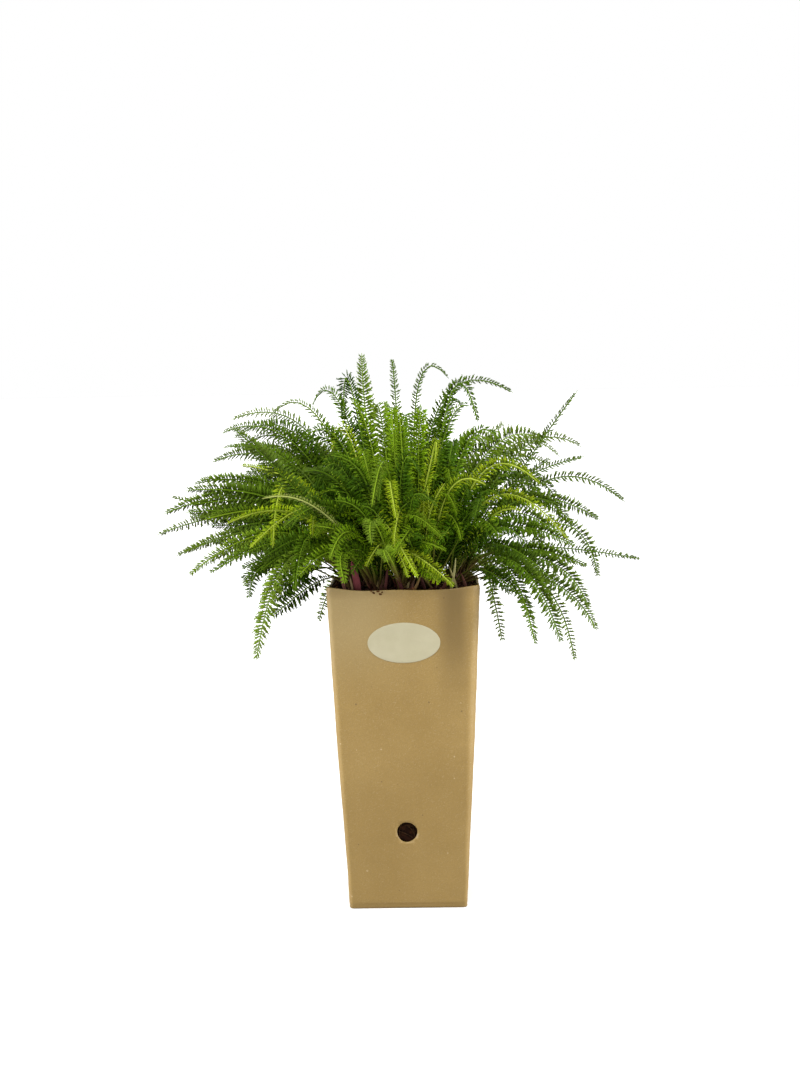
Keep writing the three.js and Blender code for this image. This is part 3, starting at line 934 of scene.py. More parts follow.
@dataclass
class RootBall:
    """The dark peaty root ball, in millimetres, with clods, crumbs on the rim and roots at the hole.

    crowns holds the places of the plant's crowns, and edge_crumbs those of the crumbs on the front edge,
    to the right and below the rim.
    """

    pot: SquarePot
    crowns: np.ndarray
    top: float = 186.5
    bottom: float = 2.7
    edge_drop: float = 1.4
    gap: float = 0.3
    crest_share: float = 0.93
    rings: int = 46
    crumbs: int = 620
    rim_crumbs: int = 130
    roots: int = 7
    peat: tuple[Colour, ...] = (
        (50, 28, 17), (38, 21, 13), (64, 37, 22), (30, 16, 11), (82, 52, 30), (58, 29, 20),
    )
    edge_peat: Colour = (96, 60, 34)
    root_tints: tuple[Colour, Colour] = ((84, 60, 38), (60, 40, 26))
    edge_crumbs: tuple[tuple[float, float], ...] = (
        (-18.6, 0.4), (-17.2, 1.6), (-14.6, 0.9), (-13.4, 2.4), (-12.4, 1.5), (6.0, -0.6), (22.0, -0.4),
    )

    def __post_init__(self) -> None:
        """Starts the crumbs' own draws and an empty self.pad."""
        self.rng, self.pad = np.random.default_rng(33), MeshPad()

    def tones(self) -> np.ndarray:
        """The peat's colours in linear light, (n, 4)."""
        return np.array([linear(*colour) for colour in self.peat])

    def relief(self, points: np.ndarray) -> np.ndarray:
        """The height of the loose peat over the plain top.

        Args:
            points: places on the top, (..., 3).

        Returns:
            The height in millimetres.
        """
        clods = 1.3 * np.abs(Ripple(21, 11.0).at(points)) + 0.7 * np.abs(Ripple(22, 4.6).at(points))
        clods = clods + 0.35 * Ripple(23, 2.2).at(points)
        away = np.linalg.norm(points[..., None, :2] - self.crowns[:, :2], axis=-1)
        return clods + 2.6 * hump(away, 0.0, 6.5).max(-1) - 0.9

    def body(self) -> None:
        """Adds the ball itself: the crumbly top, the wall of packed peat and the underside."""
        inset = self.pot.wall + self.gap
        rim = self.pot.outline(self.top - self.edge_drop, inset)
        share = np.linspace(0.0, 1.0, self.rings + 1)[1:] ** 0.85
        grid = rim * np.stack([share, share, np.ones_like(share)], 1)[:, None]
        edge = smooth(self.crest_share, 1.0, share)[:, None]
        grid[..., 2] = self.top - self.edge_drop * edge
        grid[..., 2] += self.relief(grid) * (1.0 - 0.75 * edge)
        rows = list(grid)
        runs = ((180.0, 60.0, 16), (58.0, 34.0, 25), (30.0, self.bottom, 8))
        for z in np.concatenate([np.linspace(*run) for run in runs]):
            ring = self.pot.outline(z, inset + 0.25)
            lump = 0.55 + 0.5 * Ripple(25, 3.4).at(ring) + 0.35 * Ripple(26, 7.0).at(ring)
            rows.append(ring - unit(ring * np.array([1.0, 1.0, 0.0])) * np.maximum(lump, 0.0)[:, None])
        points = np.concatenate([[[0.0, 0.0, self.top + 1.0]], *rows, [[0.0, 0.0, self.bottom]]])
        faces = skin(len(rows), len(rim), 1, (0, len(points) - 1))[:, ::-1]
        noise = np.random.default_rng(31).normal(0, 0.5, len(points))
        pick = np.clip(1.6 + 1.1 * Ripple(27, 6.0).at(points) + noise, 0, 3).astype(int)
        spots = 0.02 + 0.45 * (points[:, :2] + 46.0) / 92.0
        low = points[:, 2] < 183.0
        around = np.arctan2(points[low, 1], points[low, 0]) / TURN + 0.5
        spots[low] = np.column_stack([0.02 + 0.96 * around, 0.5 + 0.2 * points[low, 2] / self.pot.height])
        self.pad.add(points, faces, self.tones()[pick], spots)

    def crumb(self, place: np.ndarray, size: np.ndarray, tint: np.ndarray) -> None:
        """Adds one irregular crumb of peat: a jostled body of twenty faces.

        Args:
            place: its middle, (3,).
            size: its half sizes, (3,).
            tint: its colour, (4,).
        """
        golden = (1 + 5 ** 0.5) / 2
        quad = np.array([(-1, golden, 0), (1, golden, 0), (-1, -golden, 0), (1, -golden, 0)])
        base = np.concatenate([np.roll(quad, k, 1) for k in range(3)])
        faces = np.array([(0, 11, 5), (0, 5, 1), (0, 1, 7), (0, 7, 10), (0, 10, 11), (1, 5, 9), (5, 11, 4),
                          (11, 10, 2), (10, 7, 6), (7, 1, 8), (3, 9, 4), (3, 4, 2), (3, 2, 6), (3, 6, 8),
                          (3, 8, 9), (4, 9, 5), (2, 4, 11), (6, 2, 10), (8, 6, 7), (9, 8, 1)])
        rng = self.rng
        turn = np.array(Matrix.Rotation(rng.uniform(0, 6.28), 3, Vector(unit(rng.normal(size=3)))))
        ball = unit(base) * rng.uniform(0.72, 1.25, (12, 1))
        spots = np.array([0.75, 0.25]) + 0.2 * (ball[:, :2] @ np.array([[0.8, 0.3], [0.2, 0.8]]))
        shade = rng.uniform(0.8, 1.25, (12, 1)) * np.array([1, 1, 1, 0]) + np.array([0, 0, 0, 1])
        self.pad.add((ball * size) @ turn.T + place, faces, tint * shade, spots)

    def scatter(self) -> None:
        """Strews crumbs over the top, along the rim and over the front edge."""
        rng, tones = self.rng, self.tones()

        def drop(place: np.ndarray, least: float, most: float) -> None:
            """Adds a crumb of a random size and tone."""
            size = rng.uniform(least, most) * rng.uniform(0.6, 1.2, 3)
            self.crumb(place, size, tones[rng.integers(0, len(tones))])

        half = self.pot.width(self.top) / 2 - 2.6
        places = np.column_stack([rng.uniform(-half, half, (self.crumbs, 2)), np.full(self.crumbs, self.top)])
        places[:, 2] += self.relief(places[None])[0] + 0.5
        for place in places:
            drop(place, 0.5, 1.9)
        rim = self.pot.outline(self.top + 1.0, self.pot.wall + 1.0)
        for index in rng.integers(0, len(rim), self.rim_crumbs):
            flat = rim[index, :2] * rng.uniform(0.95, 1.0)
            drop(np.append(flat, self.top + rng.uniform(0.4, 3.4)), 0.6, 1.8)
        for x, below in self.edge_crumbs:
            size = np.array([1.1, 0.45, 0.6]) * rng.uniform(0.5, 1.4, 3)
            place = np.array([x, -self.pot.rim_width / 2, self.pot.height + 0.3 - below])
            self.crumb(place, size, linear(*self.edge_peat))

    def fine_roots(self) -> None:
        """Loops a few pale roots behind the drain hole."""
        rng = np.random.default_rng(35)
        z0 = self.pot.drain_height
        front = self.pot.wall - self.pot.width(z0) / 2
        t = np.linspace(-1.0, 1.0, 18)
        bow = 1 - t ** 2
        for index in range(self.roots):
            turn, bend = rng.uniform(0, math.pi), rng.uniform(-2.6, 2.6)
            run = np.array([math.cos(turn), math.sin(turn)])
            side = np.array([-run[1], run[0]])
            flat = run * (t * rng.uniform(5.0, 8.0))[:, None]
            flat += side * (bend * bow + rng.uniform(-3, 3))[:, None]
            depth = front + 0.9 - 0.75 * bow * rng.uniform(0.4, 1.0)
            path = np.column_stack([flat[:, 0], depth, z0 + flat[:, 1]])
            half = rng.uniform(0.14, 0.26) * (1.1 - 0.4 * np.abs(t))
            tints = np.tile(linear(*self.root_tints[index % 3 == 0]), (len(t), 1))
            spots = np.column_stack([0.55 + 0.1 * (t + 1), np.full(len(t), 0.05 + 0.01 * index)])
            self.pad.pipe(path, np.array([0.0, 1.0, 0.0]), half, tints, spots, circle(5))

    def build(self, material: Material) -> Piece:
        """Builds the whole ball.

        Args:
            material: the peat finish.

        Returns:
            The piece.
        """
        self.body()
        self.scatter()
        self.fine_roots()
        return self.pad.make("root_ball", material, is_smooth=False)


@dataclass
class BlankLabel:
    """The oval label, in millimetres: paper with a soft edge that follows the leaning front wall.

    inner holds the face's rings as shares of its size, and edge the rounded edge's rings with their
    shares of the thickness; foot is how far the paper's back stands off the wall.
    """

    pot: SquarePot
    width: float = 42.5
    height: float = 23.7
    below_rim: float = 31.0
    foot: float = 0.07
    thickness: float = 0.34
    spokes: int = 132
    inner: tuple[float, ...] = (0.9, 0.78, 0.66, 0.54, 0.42, 0.3, 0.18, 0.07)
    edge: tuple[tuple[float, float], ...] = ((1.0, 0.72), (0.995, 0.92), (0.985, 1.0))

    def build(self, material: Material) -> Piece:
        """Builds the label as one closed thin body.

        Args:
            material: the paper finish.

        Returns:
            The piece.
        """
        middle = self.pot.height - self.below_rim
        angle = np.linspace(0.0, TURN, self.spokes, endpoint=False)
        rows = [(share, self.foot) for share in (*reversed(self.inner), 0.985)] + [(1.0, self.foot + 0.04)]
        rows += [(share, self.thickness * out) for share, out in self.edge]
        rows += [(share, self.thickness) for share in self.inner]
        rings = []
        for share, out in rows:
            z = middle + share * self.height / 2 * np.sin(angle)
            wall = np.column_stack([share * self.width / 2 * np.cos(angle), -self.pot.width(z) / 2, z])
            wall[:, 1] -= self.pot.swell(wall) + out
            rings.append(wall)
        points = np.concatenate([*rings, [rings[0].mean(0), rings[-1].mean(0)]])
        back = self.spokes * (len(self.inner) + 1)
        side = np.repeat([0.0, 1.0], [back, len(points) - back])
        side[-2] = 0.0
        across, up = points[:, 0] / 92.0, (points[:, 2] - middle) / 46.0
        spots = np.column_stack([0.25 + 0.5 * side + across, 0.5 + up])
        pad = MeshPad()
        pad.add(points, skin(len(rows), self.spokes), np.ones((len(points), 4)), spots)
        return pad.make("oval_label", material)


# ---------------------------------------------------------------- leaves


class Tone(Enum):
    """How a leaf looks: its age, its light and how closely it is feathered."""

    YOUNG = "Y"
    FRESH = "F"
    GREEN = "G"
    DEEP = "D"
    OUTER = "O"
    SPEAR = "S"
    BROAD = "W"
    DRY = "B"


@dataclass(frozen=True)
class Feather:
    """How one kind of leaf is feathered and coloured.

    pitch is the distance between its leaflets in millimetres, reach their length as a share of the
    frame's leaflets, sweep and lift how far they lean forwards and upwards, lobes how many small lobes
    each carries, lobe their length, flesh and girth the half widths of the axis and of the lobes in
    millimetres, belly the share of its length where the axis is widest, flare how far the lobes stand
    out of the plane, in radians, and fade how far it dulls away from the middle of the plant.
    """

    tint: Colour
    tip: Colour
    rib: Colour
    pitch: float
    reach: float
    sweep: float
    lift: float
    lobes: int
    lobe: float
    flesh: float
    girth: float
    belly: float
    flare: float = 0.6
    fade: float = 0.5


FEATHERS: dict[Tone, Feather] = {
    Tone.YOUNG: Feather((158, 186, 14), (194, 214, 46), (188, 206, 74),
                        1.7, 0.58, 0.42, 0.2, 3, 1.15, 0.82, 0.44, 0.5, 0.6, 0.08),
    Tone.FRESH: Feather((112, 148, 8), (142, 174, 28), (138, 168, 38),
                        1.58, 0.72, 0.34, 0.2, 3, 1.1, 0.8, 0.44, 0.55),
    Tone.GREEN: Feather((88, 124, 7), (114, 148, 20), (110, 142, 30),
                        1.7, 0.76, 0.3, 0.2, 3, 1.2, 0.88, 0.48, 0.58),
    Tone.DEEP: Feather((60, 94, 4), (80, 116, 11), (100, 132, 28),
                       1.55, 0.88, 0.28, 0.15, 3, 1.15, 0.8, 0.46, 0.58),
    Tone.OUTER: Feather((98, 124, 26), (122, 146, 48), (108, 134, 44),
                        2.25, 0.62, 0.18, 0.2, 4, 1.35, 1.02, 0.56, 0.62, 0.7, 0.55),
    Tone.SPEAR: Feather((88, 116, 24), (112, 138, 42), (98, 126, 40),
                        2.1, 0.52, 0.4, 0.2, 4, 1.2, 1.0, 0.56, 0.6, 0.75, 0.25),
    Tone.BROAD: Feather((118, 150, 26), (144, 174, 54), (138, 166, 62),
                        1.85, 0.94, 0.3, 0.2, 4, 1.35, 0.88, 0.48, 0.58),
    Tone.DRY: Feather((150, 168, 66), (198, 200, 126), (180, 188, 104),
                      1.7, 0.36, 0.7, 0.2, 3, 1.1, 0.7, 0.4, 0.5, 0.6, 0.0),
}


@dataclass(frozen=True)
class ShootPlan:
    """One shoot of the plant.

    fill is how many leaves are added between its own and how many low at the rim, and tones has a
    letter for each of its own leaves. A row is a leaf, lowest first: azimuth in degrees, reach of its
    tip from the pot's axis, height of its tip over the rim, arch of its knee over the mean of the two
    ends, share of the way out at which the knee stands, and the knee's shift to the left.
    """

    name: str
    ring: str
    azimuth: float
    fill: tuple[int, int]
    tones: str
    rows: tuple[tuple[float, ...], ...]

    @property
    def is_inner(self) -> bool:
        """Whether it stands in the inner ring."""
        return self.ring == "inner"

    @property
    def is_front(self) -> bool:
        """Whether it stands on the label's side."""
        return math.sin(math.radians(self.azimuth)) < -0.4

    @property
    def is_beside(self) -> bool:
        """Whether it leans out to the left or to the right."""
        return abs(math.cos(math.radians(self.azimuth))) > 0.8 and not self.is_inner


# The design table of the leaves, round the outer ring from the right and then round the inner one.
SHOOTS: tuple[ShootPlan, ...] = (
    ShootPlan("shoot_right", "outer", 0, (6, 2), "OGGSGGSSS", (
        (-8, 59, -34, 62, 0.5, -2), (8, 64, -7, 22, 0.4, 0), (-6, 104, 12, 26, 0.38, 0),
        (4, 144, 12, 30, 0.1, 0), (-13, 104, 23, 42, 0.15, -10), (13, 123, 35, 62, 0.25, -10),
        (-4, 133, 47, 70, 0.5, 0), (5, 110, 75, 22, 0.1, -3), (12, 109, 114, 10, 0.5, 1))),
    ShootPlan("shoot_right_back", "outer", 30, (6, 2), "OOGGGOO", (
        (20, 98, -22, 62, 0.5, -3), (37, 89, 3, 30, 0.5, -1), (28, 137, -5, 70, 0.8, -14),
        (22, 104, 35, 82, 0.8, -11), (37, 110, 46, 70, 0.4, -8), (26, 124, 78, 70, 0.45, -2),
        (43, 136, 72, 78, 0.55, 2))),
    ShootPlan("shoot_back_right", "outer", 60, (10, 3), "OOOGOSO", (
        (60, 109, -23, 42, 0.8, -10), (67, 113, 6, 42, 0.5, -9), (52, 146, 27, 70, 0.4, 0),
        (62, 130, 57, 70, 0.2, 5), (68, 130, 83, 46, 0.25, 10), (56, 141, 79, 34, 0.3, 5),
        (62, 137, 95, 22, 0.6, 14))),
    ShootPlan("shoot_back", "outer", 90, (10, 3), "OOGGGOG", (
        (97, 123, -28, 42, 0.3, 5), (84, 83, -2, 50, 0.4, -1), (98, 125, 31, 58, 0.3, 0),
        (90, 84, 65, 90, 0.25, 0), (83, 106, 77, 62, 0.3, -3), (97, 138, 84, 62, 0.3, 0),
        (88, 39, 95, 2, 0.25, 4))),
    ShootPlan("shoot_back_left", "outer", 120, (26, 2), "OOOGGOO", (
        (128, 90, -30, 38, 0.55, 0), (112, 97, -2, 46, 0.4, 0), (126, 140, 33, 58, 0.3, 5),
        (120, 89, 47, 58, 0.5, 0), (111, 107, 75, 58, 0.2, 0), (128, 135, 88, 58, 0.3, 10),
        (119, 102, 91, 54, 0.25, 10))),
    ShootPlan("shoot_left_back", "outer", 150, (26, 2), "OOOGGOG", (
        (145, 80, -1, 30, 0.4, 0), (158, 116, 12, 42, 0.38, 5), (139, 131, 44, 50, 0.38, 0),
        (152, 137, 72, 62, 0.3, -3), (158, 121, 83, 54, 0.3, 10), (143, 138, 99, 78, 0.25, 0),
        (150, 132, 90, 70, 0.3, 4))),
    ShootPlan("shoot_left", "outer", 180, (20, 2), "DGOOOGGG", (
        (178, 80, -18, 26, 0.1, 15), (188, 117, 10, 46, 0.22, 0), (167, 157, 30, 50, 0.3, -5),
        (182, 137, 18, 46, 0.3, -5), (171, 145, 54, 10, 0.2, 2), (178, 145, 43, 58, 0.2, 10),
        (186, 130, 59, 34, 0.22, 9), (175, 124, 64, 38, 0.42, 2))),
    ShootPlan("shoot_left_front", "outer", 210, (6, 8), "WDGFYYYY", (
        (209, 99, -41, 82, 0.7, 2), (201, 97, -5, 38, 0.8, -27), (218, 80, 0, 66, 0.8, -5),
        (203, 135, 10, 58, 0.32, -7), (216, 123, 42, 46, 0.25, -10), (216, 108, 28, 70, 0.18, 3),
        (205, 103, 75, 34, 0.3, 0), (212, 89, 26, 102, 0.7, -29))),
    ShootPlan("shoot_front_left", "outer", 240, (6, 8), "FFGFBDD", (
        (250, 93, 8, 42, 0.6, -14), (231, 94, 11, 34, 0.35, -1), (231, 106, 39, 54, 0.2, 2),
        (244, 92, 21, 50, 0.5, 5), (238, 142, 58, 38, 0.4, 2), (231, 145, 97, 6, 0.28, -14),
        (242, 112, 73, 42, 0.2, -9))),
    ShootPlan("shoot_front", "outer", 270, (6, 8), "YFFYFG", (
        (277, 75, 10, 78, 0.1, -37), (263, 125, 33, 50, 0.6, -14), (267, 125, 23, 30, 0.6, -10),
        (269, 92, 44, 82, 0.6, -11), (261, 100, 51, 94, 0.4, 3), (261, 80, 54, 66, 0.3, -5))),
    ShootPlan("shoot_front_right", "outer", 300, (6, 8), "YFGYYYG", (
        (297, 65, 2, 42, 0.4, -37), (291, 72, 24, 30, 0.1, -26), (310, 51, 32, 82, 0.55, 1),
        (297, 28, 39, 86, 0.6, 2), (303, 89, 61, 50, 0.4, -5), (292, 68, 63, 6, 0.15, -10),
        (312, 84, 30, 46, 0.28, 10))),
    ShootPlan("shoot_right_front", "outer", 330, (2, 6), "GGODGGYY", (
        (323, 96, -31, 58, 0.5, 21), (334, 102, -33, 66, 0.7, -15), (343, 105, -46, 58, 0.8, 8),
        (322, 112, 5, 46, 0.24, 0), (336, 123, -26, 38, 0.7, 2), (334, 120, -13, 46, 0.7, 11),
        (339, 104, 27, 78, 0.28, -3), (323, 100, 61, 70, 0.2, 5))),
    ShootPlan("heart_back_right", "inner", 30, (8, 6), "WSDSF", (
        (40, 116, 83, 66, 0.45, -5), (30, 79, 114, 98, 0.1, 23), (48, 55, 104, 82, 0.25, -9),
        (26, 32, 123, 102, 0.1, 28), (46, 24, 86, 102, 0.2, 2))),
    ShootPlan("heart_back", "inner", 90, (8, 6), "GGWSF", (
        (80, 54, 105, 2, 0.5, -12), (70, 67, 91, 78, 0.5, -7), (108, 63, 98, 94, 0.3, 9),
        (96, 62, 135, 62, 0.35, 2), (114, 25, 110, 38, 0.4, 4))),
    ShootPlan("heart_back_left", "inner", 150, (12, 6), "FGDW", (
        (168, 81, 103, 90, 0.5, 3), (140, 73, 106, 98, 0.65, -4), (160, 37, 97, 134, 0.7, 16),
        (140, 31, 138, -2, 0.45, 7))),
    ShootPlan("heart_front_left", "inner", 210, (6, 8), "GYFF", (
        (212, 69, 88, 74, 0.45, 5), (192, 42, 81, 94, 0.8, 7), (226, 50, 49, 94, 0.7, -46),
        (212, 35, 111, 42, 0.25, 4))),
    ShootPlan("heart_front", "inner", 270, (6, 8), "FFGF", (
        (248, 48, 63, 90, 0.8, -14), (265, 40, 79, 122, 0.3, -8), (288, 20, 81, 110, 0.2, 1),
        (269, 30, 102, -10, 0.5, 3))),
    ShootPlan("heart_front_right", "inner", 330, (2, 6), "GGFG", (
        (338, 63, 86, 78, 0.5, 5), (354, 46, 95, 126, 0.45, 14), (318, 40, 51, 86, 0.65, -1),
        (326, 49, 107, 62, 0.3, 10))),
)


@dataclass(frozen=True)
class LeafLine:
    """The line of one leaf: its three control points, how it is turned and how long its leaflets are."""

    start: np.ndarray
    knee: np.ndarray
    tip: np.ndarray
    side: np.ndarray
    roll: float
    leaflet: float
    blade_start: float
    sway: float = 1.2
    phase: float = 0.0

    def at(self, share: np.ndarray) -> tuple[np.ndarray, ...]:
        """Places and directions at shares of the leaf's length.

        Args:
            share: shares of the length from 0 to 1, (n,).

        Returns:
            The places, and the unit vectors along, across and facing up from the leaf, each (n, 3).
        """
        t, steps = self._steps()
        run = np.concatenate([[0.0], np.cumsum(steps)])
        t = np.interp(share, run / run[-1], t)
        places = self._curve(t)
        swing = self.sway * (np.sin(self.phase + 6.0 * share) - math.sin(self.phase)) * share
        nod = 0.6 * self.sway * (np.cos(self.phase + 5.0 * share) - math.cos(self.phase)) * share
        places = places + self.side * swing[:, None]
        places[:, 2] += nod
        t = t[:, None]
        along = unit(2 * (1 - t) * (self.knee - self.start) + 2 * t * (self.tip - self.knee))
        across = unit(self.side - along * (along @ self.side)[:, None])
        turn = (self.roll * smooth(0.1, self.blade_start + 0.25, share))[:, None]
        across = across * np.cos(turn) + np.cross(along, across) * np.sin(turn)
        return places, along, across, np.cross(along, across)

    def _curve(self, t: np.ndarray) -> np.ndarray:
        """The places at the curve's own parameter."""
        t = t[:, None]
        return (1 - t) ** 2 * self.start + 2 * t * (1 - t) * self.knee + t * t * self.tip

    def _steps(self) -> tuple[np.ndarray, np.ndarray]:
        """Even values of the curve's parameter and the lengths between them, in millimetres."""
        t = np.linspace(0.0, 1.0, 201)
        return t, np.linalg.norm(np.diff(self._curve(t), axis=0), axis=1)

    def length(self) -> float:
        """The leaf's whole length in millimetres."""
        return float(self._steps()[1].sum())


@dataclass
class LeafRule:
    """The rule by which every leaf of the frame is laid, in millimetres and degrees."""

    pot_height: float = 190.0
    soil_top: float = 186.5
    start_height: float = 2.4
    crown_spread: float = 2.6
    crown_spread_across: float = 2.2
    bow: float = 9.0
    facing: float = 0.66
    roll_spread: float = 46.0
    leaflet_length: float = 7.6
    blade_end: float = 0.965
    wedge: dict[str, float] = field(default_factory=lambda: {"outer": 12.0, "inner": 24.0})
    crown_radius: dict[str, float] = field(default_factory=lambda: {"outer": 32.0, "inner": 13.0})

    @staticmethod
    def draws(seed: int) -> Iterator[float]:
        """Draws a repeatable stream of numbers.

        Args:
            seed: where it starts.

        Returns:
            The numbers, without an end.
        """
        state = seed
        while True:
            state = (state * 1664525 + 1013904223) % 2 ** 32
            yield state / 2 ** 32

    def crown(self, plan: ShootPlan) -> np.ndarray:
        """Where a shoot's crown stands."""
        radius, angle = self.crown_radius[plan.ring], math.radians(plan.azimuth)
        return np.array([radius * math.cos(angle), radius * math.sin(angle), 0.0])

    def line(self, plan: ShootPlan, row: tuple[float, ...], order: float, draw: Iterator[float]) -> LeafLine:
        """Lays one leaf.

        Args:
            plan: its shoot.
            row: its numbers.
            order: its place in the shoot from 0, lowest, to 1.
            draw: the stream of numbers.

        Returns:
            The leaf's line.
        """
        azimuth, reach, rise, arch, lean, shift = row
        crown, angle = self.crown(plan), math.radians(azimuth)
        outward = np.array([math.cos(angle), math.sin(angle), 0.0])
        side = np.array([-math.sin(angle), math.cos(angle), 0.0])
        aside = self.crown_spread_across * (azimuth - plan.azimuth) / self.wedge[plan.ring]
        start = crown + outward * self.crown_spread * (1 - 2 * order) + side * aside
        start[2] = self.soil_top + self.start_height
        tip = outward * reach
        tip[2] = self.pot_height + rise
        knee = start + (tip - start) * lean + side * (shift + self.bow * (next(draw) - 0.5))
        knee[2] = self.pot_height + 0.5 * rise + arch
        length, turn, blade = next(draw), next(draw), next(draw)
        farness = min(max((reach - math.hypot(crown[0], crown[1])) / 120.0, 0.0), 1.0)
        roll = self.facing * self.open_turn(start, knee, tip, side)
        roll += math.radians(self.roll_spread * (turn - 0.5))
        leaflet = self.leaflet_length * (0.84 + 0.28 * length)
        blade_start = 0.24 + 0.16 * farness + 0.08 * (blade - 0.5)
        return LeafLine(start, knee, tip, side, roll, leaflet, blade_start, phase=6.28 * turn)

    @staticmethod
    def open_turn(start: np.ndarray, knee: np.ndarray, tip: np.ndarray, side: np.ndarray) -> float:
        """The turn about its own line that opens a blade to the light from the label's side.

        Args:
            start: the leaf's first control point.
            knee: its second.
            tip: its third.
            side: the level vector across it.

        Returns:
            The turn in radians, of a quarter turn at most either way.
        """
        along = unit(0.6 * (knee - start) + 1.4 * (tip - knee))
        across = unit(side - along * (along @ side))
        wanted = unit(np.cross(along, np.array([0.0, 1.0, 0.0])))
        turn = math.atan2(float(wanted @ np.cross(along, across)), float(wanted @ across))
        return turn - math.pi * round(turn / math.pi)

    def lay(self, plan: ShootPlan, index: int) -> list[tuple[LeafLine, Tone]]:
        """Lays all the leaves of a shoot, in the frame's own order of draws.

        Args:
            plan: the shoot.
            index: its place among the shoots.

        Returns:
            The leaves' lines and tones, lowest first.
        """
        draw, last = self.draws(101 + 17 * index), len(plan.rows) - 1
        return [
            (self.line(plan, row, place / last, draw), Tone(letter))
            for place, (row, letter) in enumerate(zip(plan.rows, plan.tones))
        ]


@dataclass(frozen=True)
class Stump:
    """A bare stalk end that stands in the peat: where it starts and ends, its half width and its tint."""

    start: tuple[float, float, float]
    end: tuple[float, float, float]
    half: float
    tint: Colour


STUMPS: dict[str, tuple[Stump, ...]] = {
    "shoot_front_left": (
        Stump((-27.0, -37.0, 184.0), (-30.0, -40.0, 207.0), 2.2, (124, 62, 68)),
        Stump((-33.0, -38.0, 184.0), (-37.5, -40.5, 201.0), 1.0, (112, 74, 66)),
        Stump((-12.0, -38.0, 184.0), (-9.0, -41.0, 203.0), 0.9, (78, 42, 40)),
        Stump((-29.5, -38.0, 184.0), (-31.0, -41.0, 198.0), 0.7, (132, 112, 82)),
    ),
    "shoot_front": (
        Stump((1.0, -37.0, 184.0), (-6.5, -41.0, 204.0), 1.1, (84, 44, 46)),
        Stump((3.0, -38.0, 184.0), (10.5, -41.0, 198.0), 0.8, (132, 104, 66)),
        Stump((14.0, -36.0, 184.0), (8.5, -40.0, 202.0), 0.9, (66, 34, 34)),
    ),
    "shoot_front_right": (
        Stump((27.0, -36.0, 184.0), (31.0, -39.0, 208.0), 0.8, (172, 166, 112)),
        Stump((33.0, -35.0, 184.0), (27.0, -39.5, 203.0), 0.7, (156, 146, 96)),
        Stump((20.0, -38.0, 184.0), (26.5, -41.5, 198.0), 1.0, (76, 42, 34)),
        Stump((38.0, -36.0, 184.0), (34.0, -39.5, 199.0), 0.9, (84, 50, 44)),
    ),
}


@dataclass(frozen=True)
class Leaf:
    """One leaf as it is built: its line, how it is feathered and its strip of the bake sheet."""

    line: LeafLine
    feather: Feather
    band: tuple[float, float]

    def spots(self, share: np.ndarray, off: np.ndarray | float = 0.0) -> np.ndarray:
        """Places on the bake sheet, by shares of the leaf's length and from -1 to 1 across its strip."""
        across = (self.band[0] * (1.0 - off) + self.band[1] * (1.0 + off)) / 2
        return np.column_stack([0.01 + 0.98 * share, np.broadcast_to(across, share.shape)])


